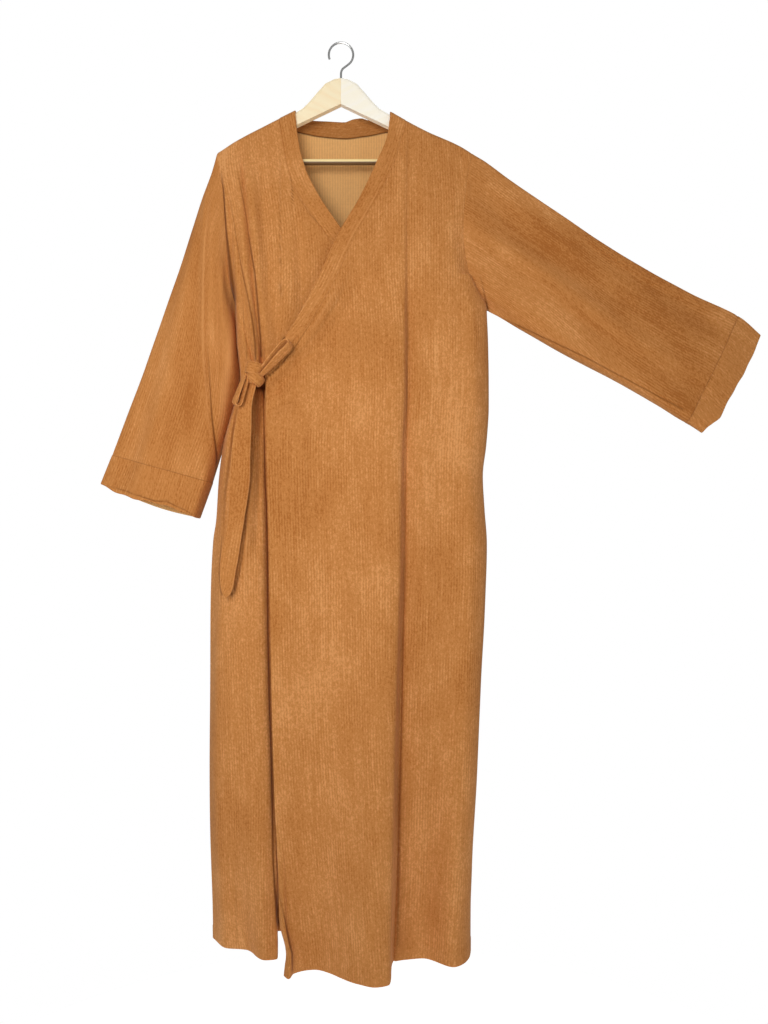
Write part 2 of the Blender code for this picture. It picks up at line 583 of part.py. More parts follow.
def cloth(name, grid, wall, outward, seams=(), closed=False, cut=()):
    """A wall of cloth on a grid of points. Seams are (place, crossing); cut lists cells to leave out."""
    directions = wall_directions(grid, outward, closed)
    for place, crossing in (*seams, *seams):
        square_to(directions, place, crossing)
    outer = (grid + directions * wall / 2).reshape(-1, 3)
    inner = (grid - directions * wall / 2).reshape(-1, 3)
    rows, columns = grid.shape[:2]
    mesh = bmesh.new()
    bmesh.ops.create_grid(mesh, x_segments=columns - 1, y_segments=rows - 1, size=1.0)
    station = mesh.verts.layers.int.new("station")
    mesh.verts.ensure_lookup_table()
    for index, vertex in enumerate(mesh.verts):
        vertex[station] = index
        vertex.co = outer[index]
    if cut:
        gone = [face for face in mesh.faces if cell_of(face, station, columns) in cut]
        bmesh.ops.delete(mesh, geom=gone, context="FACES")
    if closed:
        at = {vertex[station]: vertex for vertex in mesh.verts}
        pairs = {at[row * columns + columns - 1]: at[row * columns] for row in range(rows)}
        bmesh.ops.weld_verts(mesh, targetmap=pairs)
    made = bmesh.ops.extrude_face_region(mesh, geom=mesh.faces[:], use_keep_orig=True)
    for item in made["geom"]:
        if isinstance(item, bmesh.types.BMVert):
            item.co = inner[item[station]]
    return finish_object(name, mesh, CORDUROY)


def cell_of(face, station, columns):
    """The row and column of a grid face, from its lowest corner."""
    return divmod(min(vertex[station] for vertex in face.verts), columns)


def finish_object(name, mesh, finish, sharp_angle=50.0):
    bmesh.ops.recalc_face_normals(mesh, faces=mesh.faces[:])
    data = bpy.data.meshes.new(name)
    mesh.to_mesh(data)
    mesh.free()
    data.shade_smooth()
    data.set_sharp_from_angle(angle=math.radians(sharp_angle))
    data.materials.append(plain_material(name, finish))
    made = bpy.data.objects.new(name, data)
    bpy.context.collection.objects.link(made)
    return made


def plain_material(name, finish):
    """One sub-part's own material. Finish is its colour, roughness and metallic value."""
    colour, roughness, metallic = finish
    material = bpy.data.materials.new(name + "_finish")
    material.use_nodes = True
    shader = material.node_tree.nodes["Principled BSDF"]
    shader.inputs["Base Color"].default_value = (*colour, 1.0)
    shader.inputs["Roughness"].default_value = roughness
    shader.inputs["Metallic"].default_value = metallic
    return material


def clear_scene():
    for leftover in list(bpy.data.objects):
        bpy.data.objects.remove(leftover)


def edge_crossings(edge):
    """Lines that cross a seam on the front or back, square to it as seen from the front and pointing out."""
    run = np.gradient(edge, axis=0)
    across = np.stack([-run[:, 2], np.zeros(len(run)), run[:, 0]], axis=1)
    return unit(across)


def band_grid(seam, free, gap=SEAM_GAP, columns=2):
    """A band's points from its seam to its free edge, and the lines that cross the seam."""
    run = unit(np.gradient(seam, axis=0))
    crossing = free - seam
    crossing = unit(crossing - np.sum(crossing * run, axis=1, keepdims=True) * run)
    start = seam + gap * crossing
    shares = np.linspace(0.0, 1.0, columns + 1)
    grid = start[:, None] + (free - start)[:, None] * shares[None, :, None]
    return grid, crossing


def front_band_edge(rows, free_table, seam_edge, count):
    """The free edge of a front band, as far forward as its seam, with the turn over the shoulder."""
    lower = np.array([
        [smooth(free_table["drop"], free_table["x"], drop), seam_edge[len(ROLL_ANGLES) - 1 + index][1],
         smooth(free_table["drop"], free_table["z"], drop)]
        for index, drop in enumerate(rows[:count])
    ])
    upper = rolled(lower[:1], -1)
    return np.concatenate([*upper, lower])


def armhole_edge(side):
    """The whole armhole, from the shoulder seam down its front, then up its back."""
    front = [side_point(side, drop, -1) for drop in ARMHOLE_DROPS]
    top = rolled(np.array(front[:1]), -1)
    half = np.array([row[0] for row in top] + front)
    half[0, 1] = 0.0
    half[-1, 1] = 0.0
    back = half[::-1] * (1, -1, 1)
    return np.concatenate([half, back[1:]]), half


def sleeve_grid(sleeve, side, stations):
    """Rings of points round a sleeve, the first on the armhole."""
    ring, half = armhole_edge(side)
    fall = (half[0, 2] - half[:, 2]) / (half[0, 2] - half[-1, 2])
    share = np.concatenate([fall, fall[::-1][1:]])
    face = np.concatenate([np.full(len(fall), -1.0), np.full(len(fall) - 1, 1.0)])

    def section(s):
        here = read(sleeve, "s", s)
        top = np.array([here["x_top"], 0.0, here["z_top"]])
        low = np.array([here["x_low"], here["y_low"], here["z_low"]])
        points = top + (low - top) * share[:, None]
        crest = np.where(face < 0, here["crest"], 0.5)
        depth = np.where(face < 0, here["front"], here["back"])
        rising = np.sin(np.pi / 2 * np.clip(share / crest, 0, 1)) ** 0.7
        falling = np.sqrt(np.clip(1 - ((share - crest) / (1 - crest)) ** 2, 0, 1))
        points[:, 1] += face * depth * np.where(share < crest, rising, falling)
        points[:, 2] -= np.where(face > 0, here["sag"], 0.0) * np.sin(np.pi * share)
        return points

    start = section(0.0)
    rows = [section(s) + (ring - start) * float(ease(1 - s / ARMHOLE_BLEND)) for s in stations]
    return np.array(rows), ring


def build_body():
    over_shares = np.sort([*np.linspace(0, 1, OVER_FRONT_COLUMNS + 1), *EDGE_SHARES])
    over = panel(lambda drop: over_front_section(drop, over_shares), -1)
    under = panel(lambda drop: under_front_section(drop, np.linspace(0, 1, UNDER_FRONT_COLUMNS + 1)), -1)
    back = panel(back_section, 1)
    front_rows = len(ROLL_ANGLES) - 1
    armhole_rows = front_rows + len(ARMHOLE_DROPS)
    waist_row = front_rows + ALL_DROPS.index(WAIST_DROP)
    to_shoulder = (0, 1, 0)
    underarm = armhole_rows - 1

    over_free = front_band_edge(ALL_DROPS, OVER_BAND, over[:, 0], waist_row - front_rows + 1)
    over_band, over_crossing = band_grid(over[: waist_row + 1, 0], over_free)
    under_free = front_band_edge(ALL_DROPS, UNDER_BAND, under[:, -1], waist_row - front_rows + 1)
    under_band, under_crossing = band_grid(under[: waist_row + 1, -1], under_free)

    left_arm = edge_crossings(over[:armhole_rows, -1])
    right_arm = -edge_crossings(under[:armhole_rows, 0])

    def body_seams(side_column, arm_crossing):
        return [
            ((slice(underarm, None), side_column), to_shoulder),
            ((slice(0, armhole_rows), side_column), arm_crossing),
        ]

    shoulder = ((0, slice(None)), to_shoulder)
    cloth(
        "left_front", over, CLOTH_WALL, (0, -1, 0),
        [shoulder, ((slice(0, waist_row + 1), 0), over_crossing), *body_seams(-1, left_arm)],
    )
    cloth(
        "right_front", under, CLOTH_WALL, (0, -1, 0),
        [shoulder, ((slice(0, waist_row + 1), -1), under_crossing), *body_seams(0, right_arm)],
    )
    band_shoulder = ((0, slice(None)), to_shoulder)
    cloth("left_front_band", over_band, BAND_WALL, (0, -1, 0),
          [band_shoulder, ((slice(None), 0), over_crossing)])
    cloth("right_front_band", under_band, BAND_WALL, (0, -1, 0),
          [band_shoulder, ((slice(None), 0), under_crossing)])

    first = SHOULDER_COLUMNS
    last = SHOULDER_COLUMNS + NECK_COLUMNS
    neck_row = front_rows
    seam_line = np.concatenate([back[:neck_row, first], back[neck_row, first : last + 1], back[:neck_row, last][::-1]])
    top_line = back_band_top(front_rows)
    back_band, back_crossing = band_grid(seam_line, top_line, NECK_SEAM_GAP)
    neck_cells = {(row, column) for row in range(neck_row) for column in range(first, last)}
    neck_seams = [
        ((slice(0, neck_row), first), back_crossing[:neck_row]),
        ((neck_row, slice(first, last + 1)), back_crossing[neck_row : neck_row + NECK_COLUMNS + 1]),
        ((slice(0, neck_row), last), back_crossing[::-1][:neck_row]),
    ]
    cloth(
        "back", back, CLOTH_WALL, (0, 1, 0),
        [shoulder, *neck_seams, *body_seams(-1, left_arm), *body_seams(0, right_arm)], cut=neck_cells,
    )
    cloth("back_neck_band", back_band, BAND_WALL, (0, 1, 0),
          [((0, slice(None)), to_shoulder), ((-1, slice(None)), to_shoulder), ((slice(None), 0), back_crossing)])
    return left_arm, right_arm


def back_band_top(roll_rows):
    """The free top edge of the back neck band, with its turn over both shoulders."""
    shares = np.linspace(0.0, 1.0, NECK_COLUMNS + 1)
    line = np.array([
        [smooth(BACK_NECK["share"], BACK_NECK[name], share) for name in ("x_top", "y_top", "z_top")]
        for share in shares
    ])
    right = np.array([row[0] for row in rolled(line[:1], 1)])
    left = np.array([row[0] for row in rolled(line[-1:], 1)])[::-1]
    return np.concatenate([right[:roll_rows], line, left])


def build_sleeve(name, sleeve, side, arm_crossing, outward):
    stations = CUFF_SEAM * ease_start(np.linspace(0.0, 1.0, SLEEVE_STEPS + 1))
    grid, ring = sleeve_grid(sleeve, side, stations)
    crossing = np.concatenate([arm_crossing, arm_crossing[::-1][1:]])
    grid[0] = ring + SEAM_GAP * crossing
    cuff_stations = np.linspace(CUFF_SEAM, 1.0, CUFF_STEPS + 1)
    cuff, _ = sleeve_grid(sleeve, side, cuff_stations)
    axis = unit(cuff[1] - grid[-2])
    seam = grid[-1].copy()
    grid[-1] = seam - HALF_GAP * axis
    cuff[0] = seam + HALF_GAP * axis
    cloth("sleeve_" + name, grid, CLOTH_WALL, outward,
          [((0, slice(None)), crossing), ((-1, slice(None)), axis)], closed=True)
    cloth("cuff_" + name, cuff, BAND_WALL, outward,
          [((0, slice(None)), axis)], closed=True)


def ease_start(shares):
    """Shares a little closer together at the start."""
    return shares * (0.55 + 0.45 * shares)


def lump(name, centre, half_size, grow=0.0):
    """A rounded knot: a sphere drawn out, with two wraps of the tie round it."""
    mesh = bmesh.new()
    bmesh.ops.create_uvsphere(mesh, u_segments=14, v_segments=9, radius=1.0)
    for vertex in mesh.verts:
        x, y, z = vertex.co
        wrap = 1 + 0.05 * (1 - z * z) * math.cos(3 * (z - 0.5 * x) * math.pi)
        vertex.co = [middle + value * half * wrap for middle, value, half in zip(centre, (x, y, z), half_size)]
    mesh.normal_update()
    for vertex, out in [(vertex, vertex.normal.copy()) for vertex in mesh.verts]:
        vertex.co += out * grow
    return finish_object(name, mesh, CORDUROY)


def cut_away(target, cutter):
    modifier = target.modifiers.new("room for the knot", "BOOLEAN")
    modifier.operation = "DIFFERENCE"
    modifier.solver = "EXACT"
    modifier.object = cutter


def bow_loop(name, root, way, scale, steps=22, sides=8):
    """A stuffed strand that leaves the knot, turns at the loop's tip and comes back."""
    way = unit(np.array(way))
    aside = np.array([-way[2], 0.0, way[0]])
    forward = np.array([0.0, -1.0, 0.0])
    flat = through(np.column_stack([LOOP["along"], LOOP["aside"], LOOP["half_width"]]), steps + 1)
    line = root + way * flat[:, :1] * scale[0] + aside * flat[:, 1:2] * scale[1]
    across = unit(np.cross(np.gradient(line, axis=0), forward))
    angles = np.linspace(0.0, 2 * math.pi, sides + 1)
    grid = (
        line[:, None]
        + across[:, None] * flat[:, 2, None, None] * scale[1] * np.cos(angles)[None, :, None]
        + forward * (LOOP_DEPTH / 2 * np.sin(angles))[None, :, None]
    )
    mesh = bmesh.new()
    bmesh.ops.create_grid(mesh, x_segments=sides, y_segments=steps, size=1.0)
    mesh.verts.ensure_lookup_table()
    for vertex, place in zip(mesh.verts, grid.reshape(-1, 3)):
        vertex.co = place
    pairs = {mesh.verts[row * (sides + 1) + sides]: mesh.verts[row * (sides + 1)] for row in range(steps + 1)}
    bmesh.ops.weld_verts(mesh, targetmap=pairs)
    bmesh.ops.holes_fill(mesh, edges=[edge for edge in mesh.edges if edge.is_boundary])
    return finish_object(name, mesh, CORDUROY)


def build_knot():
    lump("tie_knot", KNOT_CENTRE, KNOT_HALF_SIZE)
    cutter = lump("knot_clearance", KNOT_CENTRE, KNOT_HALF_SIZE, KNOT_CLEARANCE)
    cutter.hide_render = True
    cutter.display_type = "WIRE"
    long_loop = bow_loop("tie_loop_long", LONG_LOOP_ROOT, LONG_LOOP_WAY, (1.0, 1.0))
    short_loop = bow_loop("tie_loop_short", SHORT_LOOP_ROOT, SHORT_LOOP_WAY, SHORT_LOOP_SCALE)
    line = through(np.column_stack([TIE_END[name] for name in ("x", "y", "z")]), 15)
    half_width = smooth(TIE_END["z"][::-1], TIE_END["half_width"][::-1], line[:, 2])
    shares = np.linspace(-1.0, 1.0, 5)
    grid = np.repeat(line[:, None], len(shares), axis=1)
    grid[:, :, 0] += half_width[:, None] * shares
    end = cloth("tie_end", grid, TIE_WALL, (0, -1, 0))
    for target in (long_loop, short_loop, end, bpy.data.objects["left_front_band"]):
        cut_away(target, cutter)


def build_hanger():
    for name, way in (("hanger_arm_right", -1), ("hanger_arm_left", 1)):
        mesh = bmesh.new()
        corners = []
        for x, z in zip(HANGER_OUTLINE["x"], HANGER_OUTLINE["z"]):
            corners.append(mesh.verts.new((way * max(x, HALF_GAP), -HANGER_HALF_DEPTH, z)))
        face = mesh.faces.new(corners)
        made = bmesh.ops.extrude_face_region(mesh, geom=[face], use_keep_orig=True)
        moved = [item for item in made["geom"] if isinstance(item, bmesh.types.BMVert)]
        bmesh.ops.translate(mesh, verts=moved, vec=(0, 2 * HANGER_HALF_DEPTH, 0))
        rim = [
            edge
            for edge in mesh.edges
            if abs(edge.verts[0].co.y - edge.verts[1].co.y) < 1e-6
            and min(abs(vertex.co.x) for vertex in edge.verts) > 1e-3
        ]
        bmesh.ops.bevel(mesh, geom=rim, offset=HANGER_BEVEL, segments=2, profile=0.5, affect="EDGES",
                        material=-1)
        finish_object(name, mesh, WOOD, sharp_angle=35.0)
    bar = bmesh.new()
    bmesh.ops.create_cone(
        bar, cap_ends=True, segments=16, radius1=BAR_RADIUS, radius2=BAR_RADIUS,
        depth=2 * (BAR_SOCKET_X - SEAM_GAP),
    )
    for vertex in bar.verts:
        vertex.co = (vertex.co.z, vertex.co.x, vertex.co.y - BAR_DROP)
    finish_object("hanger_bar", bar, WOOD)
    build_hook()


def build_hook():
    """A question-mark hook: round the crown, back to the middle and down its stem to the wood."""
    radius = HOOK_INNER_RADIUS + HOOK_WIRE_RADIUS
    centre = -HOOK_INNER_RADIUS
    points = []
    for angle in np.linspace(200.0, -38.0, 22):
        turn = math.radians(angle)
        points.append((radius * math.cos(turn), centre + radius * math.sin(turn)))
    points += [(0.0085, -0.0385), (0.0020, -0.0440), (0.0, -0.0500), (0.0, HANGER_OUTLINE["z"][0] + SEAM_GAP)]
    line = through(points, 34)
    curve = bpy.data.curves.new("hook", "CURVE")
    curve.dimensions = "3D"
    curve.bevel_depth = HOOK_WIRE_RADIUS
    curve.bevel_resolution = 2
    curve.use_fill_caps = True
    spline = curve.splines.new("POLY")
    spline.points.add(len(line) - 1)
    for point, (x, z) in zip(spline.points, line):
        point.co = (x, 0.0, z, 1.0)
    curve.materials.append(plain_material("hook", STEEL))
    hook = bpy.data.objects.new("hook", curve)
    bpy.context.collection.objects.link(hook)


def main():
    clear_scene()
    left_arm, right_arm = build_body()
    build_sleeve("left", SLEEVE_LEFT, LEFT_SIDE, left_arm, (0, 1, 0))
    build_sleeve("right", SLEEVE_RIGHT, RIGHT_SIDE, right_arm, (0, 1, 0))
    build_knot()
    build_hanger()


main()
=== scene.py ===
"""The looks of a corduroy wrap abaya on its wooden hanger, laid out as a Blender add-on.

Metres, +Z up, the front towards -Y. Left and right in names are the wearer's.
"""

import math
from functools import cache

import bmesh
import bpy
import numpy as np
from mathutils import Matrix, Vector, noise


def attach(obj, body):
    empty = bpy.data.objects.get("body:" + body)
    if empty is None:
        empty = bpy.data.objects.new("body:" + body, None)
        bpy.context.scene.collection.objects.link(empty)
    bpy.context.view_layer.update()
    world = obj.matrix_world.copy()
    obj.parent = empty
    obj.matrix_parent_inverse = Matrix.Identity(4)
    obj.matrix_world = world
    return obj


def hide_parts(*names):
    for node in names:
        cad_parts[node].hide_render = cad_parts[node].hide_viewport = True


bl_info = {
    "name": "Corduroy Wrap Abaya",
    "version": (1, 0, 0),
    "blender": (4, 5, 0),
    "location": "3D View > Sidebar > Abaya",
    "description": "Dresses the abaya's solids in corduroy, sets its hanger's finishes and its stage",
    "category": "Object",
}

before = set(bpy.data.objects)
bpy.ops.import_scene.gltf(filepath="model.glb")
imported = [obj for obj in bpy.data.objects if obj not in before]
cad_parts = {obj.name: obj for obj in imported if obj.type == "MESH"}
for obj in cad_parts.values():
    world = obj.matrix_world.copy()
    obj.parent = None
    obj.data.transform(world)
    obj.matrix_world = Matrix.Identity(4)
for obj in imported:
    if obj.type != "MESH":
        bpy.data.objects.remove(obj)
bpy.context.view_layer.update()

FORWARD = (0, -1, 0)
BACKWARD = (0, 1, 0)

# The garment's own sizes, the same as its solids'. A drop is a distance below the hook's crown.
SHOULDER_ROLL = 0.0092
SHOULDER_TOP_DROP = 0.1878
YOKE_DROP = SHOULDER_TOP_DROP + SHOULDER_ROLL
UNDERARM_DROP = 0.4525
WAIST_DROP = 0.5750
HEM_DROP = 1.5500
HEM_DEPTH = 0.026
# Half the gap between two sewn pieces.
MEET = 0.00005
# How far below the yoke the fronts and the back still follow the shoulder line.
FRONT_YOKE_BLEND = 0.09
BACK_YOKE_BLEND = 0.07

# The left front's turned edge near the hem: where it stands out most, where it is flat again, the least turn.
CURL_TOP = 0.0080
CURL_END = 0.0135
LEAST_CURL = 0.0001
# Between its long crease and the side seam: where its flat and its ridge lie, shares of that stretch.
FLAT_AT = 0.38
RIDGE_AT = 0.76
# Its turn into the side seam: how far in it starts, from which drop and how soon, and the shares that the
# ridge's and the seam's depth have there.
SIDE_TURN = 0.004
SIDE_TURN_DROP = 0.40
SIDE_TURN_RANGE = 0.08
SIDE_MIX = (0.45, 0.55)
# The pinch in its long crease: how far beside it, and its half width.
PINCH_ASIDE = 0.001
PINCH_HALF_WIDTH = 0.0030
# The share of its columns before the long crease, the drop below the underarm that it takes, and the least.
CREASE_SHARE = 0.62
CREASE_SHARE_RANGE = 0.15
LEAST_SHARE = 0.02
# The right front's fold beside the overlap: how broad its front is, how far its turn reaches back, from
# which drop and how soon, the least of it that is made, and the share of the columns before it.
CREST_FLAT = 0.018
CREST_TURN = 0.005
CREST_DROP = 0.60
CREST_RANGE = 0.15
LEAST_CREST = 0.01
CREST_SHARE = 0.62

# Shares of a sleeve's length: where its cuff starts, and where it has left the armhole's form.
CUFF_SEAM = 0.90
ARMHOLE_BLEND = 0.30
# How a sleeve rounds over, above and below where it is fullest, and from which share down a cuff is drawn in.
TOP_ROUND = 0.7
LOW_ROUND = 5
DRAWN_FROM = 0.86
# The cuff's open edge: how far it waves, and the size and number of its finer waves.
HEM_WAVE = 0.004
FINE_WAVE = 0.25
FINE_WAVES = 9
# A sleeve's folds: their distance from its top and underarm folds and from the armhole, and the back's share.
FOLD_CLEAR = 0.025
ARMHOLE_CLEAR = 0.010
BACK_FOLD = 0.6
SLEEVE_STEPS = 130
CUFF_STEPS = 16
CUFF_LENGTH = 0.055
# Stations close to both ends of a sleeve, from its armhole and back from its cuff.
NEAR_ARMHOLE = (0.001, 0.0025, 0.005, 0.009)
NEAR_CUFF = (0.008, 0.004, 0.0015)

ROLL_ANGLES = tuple(range(0, 91, 10))
ARMHOLE_DROPS = (*np.linspace(YOKE_DROP, 0.370, 38), *np.linspace(0.370, UNDERARM_DROP, 50)[1:])
WAIST_DROPS = tuple(np.linspace(UNDERARM_DROP, WAIST_DROP, 22)[1:])
NEAR_EDGE = (0.0006, 0.0014, 0.0028)
NEAR_HEM = (*NEAR_EDGE, HEM_DEPTH - 0.002, HEM_DEPTH, HEM_DEPTH + 0.002)
SKIRT_DROPS = tuple(sorted([
    *np.linspace(WAIST_DROP, HEM_DROP, 116)[1:],
    *(HEM_DROP - step for step in NEAR_HEM),
]))
ALL_DROPS = ARMHOLE_DROPS + WAIST_DROPS + SKIRT_DROPS
# Columns of points, and the lengths of cloth that they divide.
SHOULDER_COLUMNS = 22
SHOULDER_LENGTH = 0.1
NECK_COLUMNS = 48
BACK_WIDTH = 0.43
OVER_COLUMNS = 120
SHOWN_COLUMNS = 134
HIDDEN_COLUMNS = 70
FRONT_WIDTH = 0.40
BAND_COLUMNS = 14
BAND_WIDTH = 0.024

# The photo's view: the eye, the photo's middle in columns and rows, and its focal length in the same units.
EYE = (0.0731, -1.4500, -0.7960)
PHOTO_MIDDLE = (384.0, 512.0)
PHOTO_FOCAL = 853.0

# Slow swells of the cloth: height, then width across the wales and length along them.
FRONT_WAVES = ((0.0016, 0.060, 0.300), (0.0007, 0.022, 0.090))
BACK_WAVES = ((0.0022, 0.080, 0.400), (0.0008, 0.025, 0.110))
BAND_WAVES = ((0.0003, 0.020, 0.050),)
SLEEVE_WAVES = ((0.0015, 0.050, 0.160), (0.0006, 0.020, 0.060))
WAVE_SEED_STEP = 7.3
SWELL_START = 0.012
# The standing lip of the back neck band: place, half width and height.
NECK_LIP = (0.0260, 0.0150, 0.0045)
# The groove pressed along a band: its place from the seam and its half width.
BAND_GROOVE_AT = 0.0060
BAND_GROOVE_WIDTH = 0.0020
# How deep and how broad a seam sinks, the radius of a free edge, and its share of the full thickness.
SEAM_SINK = 0.0003
SEAM_REACH = 0.0018
EDGE_ROUND = 0.0014
EDGE_SHARE = 0.35
# The hem: how much thicker it is, from how far above its stitching and how soon.
HEM_EXTRA = 0.6
HEM_LEAD = 0.001
HEM_STEP = 0.003
# Painted shade in the valleys: columns that count to each side, the least slope, the range above it,
# how dark the shade gets.
VALLEY_REACH = 2
VALLEY_START = 0.08
VALLEY_RANGE = 0.70
VALLEY_SHADE = 0.45
# A drawn crease's depth as a share of its half width, and how far round a surface still counts as the front.
CREASE_DEPTH = 0.5
FRONT_FACING = 0.2
SHARP_ANGLE = math.radians(60)

# The pile's patterns: how many a metre across and along, their seed's shift, their detail and roughness.
PILE_PATTERNS = {
    "wobble": (22, 7, 0, 1.0, 0.5),
    "lint": (330, 210, 3, 3.0, 0.75),
    "speck": (1300, 900, 5, 1.0, 0.5),
    "crushed": (30, 16, 9, 2.0, 0.5),
    "patch": (16, 9, 11, 2.0, 0.5),
    "broad": (4.0, 2.6, 13, 1.0, 0.5),
}
# The same for the wrong side, and its threads a metre across and along.
THREAD_PATTERNS = {
    "slub": (30, 420, 0, 2.0, 0.5),
    "lint": (420, 160, 2, 2.0, 0.7),
    "patch": (12, 8, 4, 2.0, 0.5),
}
THREADS = (1400, 1250)
# How far a wale wanders, a share of its width, and how much each pattern changes the cloth's tone.
WALE_WOBBLE = 0.40
PILE_TONES = {"wale": 0.28, "own": 0.45, "lint": 1.60, "speck": 0.35, "patch": 0.75, "broad": 0.75}
THREAD_TONES = {"line": 0.55, "slub": 0.4, "lint": 0.9, "patch": 0.5}
# The corduroy's relief: its wales, their lint, the finest specks, its seams, and the wrong side's threads.
WALE_HEIGHT = 0.00026
LINT_HEIGHT = 0.00026
SPECK_HEIGHT = 0.00008
SEAM_DEPTH = 0.0004
THREAD_HEIGHT = 0.00010
# How far apart two pieces' patterns lie, and a band's inner face: darkened by painted shade, with a
# pattern of its own.
PIECE_SHIFT = 1.37
BAND_FOLD_SHADE = 0.80
BAND_FOLD_SEED = 20
# The linear colours of the painted shade in the cloth's deepest creases and on the bar's underside.
CREASE_SHADE_COLOUR = (0.130, 0.034, 0.006, 1)
UNDERSIDE_SHADE_COLOUR = (0.12, 0.04, 0.005, 1)

# The knot's wraps: place, axis, radii aside and forward, half width and thickness.
KNOT_WRAPS = (
    ((0.0005, -0.0010, 0.0075), (0.25, 0.0, 1.0), (0.0118, 0.0098), 0.0100, 0.0036),
    ((0.0020, -0.0005, -0.0080), (0.62, 0.1, 0.78), (0.0118, 0.0104), 0.0085, 0.0042),
    ((0.0, 0.0, 0.0), (0.2, 0.0, 1.0), (0.0050, 0.0040), 0.0170, 0.0080),
)
KNOT_CROWN = 0.5
KNOT_STEPS = 60
# The bow's loops: their twist, their lean forward, their strands' thickness and the painted shade within.
LOOP_TWIST = math.radians(50)
LOOP_LEAN = 0.35
LOOP_THICKNESS = 0.0032
LOOP_SHADE = 0.95
LOOP_STEPS = 70
# The long end: its points along and round, its thickness, the half width from which it has that, its twist.
END_STEPS = 110
END_SIDES = 44
END_THICKNESS = 0.0036
END_FULL = 0.009
END_TWIST = 0.0022
END_TWIST_RATE = 58
END_TWIST_REACH = 0.016
# A strap's section, flatter than a circle: powers across and through. Its rims get a painted highlight:
# how strong, and from which share of the half width.
STRAP_ROUND = (0.6, 0.8)
RIM_HIGHLIGHT = 0.35
RIM_FROM = 0.75

# The stage: the point that the lamps look at, the floor's middle and its radius.
LAMP_AIM = (-0.18, 0.0, -0.58)
FLOOR_PLACE = (0.05, 0.0)
FLOOR_RADIUS = 1.3


def table(columns, *rows):
    """The rows as one array for each named column."""
    return dict(zip(columns.split(), np.array(rows, float).T))


def fold_lines(*rows):
    """Ridges (depth above 0) and grooves (below 0): a line from one end to the other, seen from the front,
    how far its middle bows to +X, and its half width and its depth at each end."""
    return table("x_1 z_1 x_2 z_2 bow width_1 width_2 depth_1 depth_2", *rows)


SHOULDER = table(
    "x z",
    (-0.2085, -0.1878),
    (-0.1870, -0.1737),
    (-0.1428, -0.1492),
    (-0.1037, -0.1290),
    (-0.0765, -0.1155),
    (0.0833, -0.1175),
    (0.1095, -0.1322),
    (0.1500, -0.1530),
    (0.2006, -0.1755),
    (0.2205, -0.1878),
)

# Each side edge: armhole down to the underarm, then side seam. Open is half the armhole's depth there.
LEFT_SIDE = table(
    "drop x y open",
    (0.1970, 0.2205, 0.0, 0.0092),
    (0.2550, 0.2100, 0.0, 0.0170),
    (0.3250, 0.2055, 0.0, 0.0220),
    (0.3950, 0.2150, 0.0, 0.0200),
    (0.4250, 0.2290, 0.0, 0.0130),
    (0.4525, 0.2460, 0.0, 0.0),
    (0.5750, 0.2502, 0.0, 0.0),
    (0.6200, 0.2502, 0.0, 0.0),
    (0.6800, 0.2465, 0.0, 0.0),
    (0.7350, 0.2404, 0.0, 0.0),
    (0.7900, 0.2432, 0.0, 0.0),
    (0.8500, 0.2472, 0.0, 0.0),
    (0.9450, 0.2445, 0.0, 0.0),
    (1.0800, 0.2375, 0.0, 0.0),
    (1.2500, 0.2302, 0.0, 0.0),
    (1.4000, 0.2220, 0.0, 0.0),
    (1.4700, 0.2208, 0.010, 0.0),
    (1.5500, 0.2212, 0.018, 0.0),
)
RIGHT_SIDE = table(
    "drop x y open",
    (0.1970, -0.2085, 0.0, 0.0092),
    (0.2600, -0.1975, 0.0, 0.0150),
    (0.3300, -0.1927, 0.0, 0.0180),
    (0.3950, -0.1890, 0.0, 0.0160),
    (0.4250, -0.1845, 0.0, 0.0100),
    (0.4525, -0.1800, 0.0, 0.0),
    (0.5100, -0.1765, 0.0, 0.0),
    (0.5750, -0.1695, 0.0, 0.0),
    (0.6200, -0.1825, 0.0, 0.0),
    (0.6800, -0.1990, 0.0, 0.0),
    (0.7400, -0.2070, 0.0, 0.0),
    (0.8100, -0.2115, 0.0, 0.0),
    (0.8450, -0.2166, 0.0, 0.0),
    (0.9450, -0.2217, 0.004, 0.0),
    (1.0840, -0.2241, 0.012, 0.0),
    (1.2600, -0.2272, 0.022, 0.0),
    (1.3500, -0.2278, 0.030, 0.0),
    (1.4700, -0.2275, 0.047, 0.0),
    (1.5500, -0.2287, 0.0603, 0.0),
)

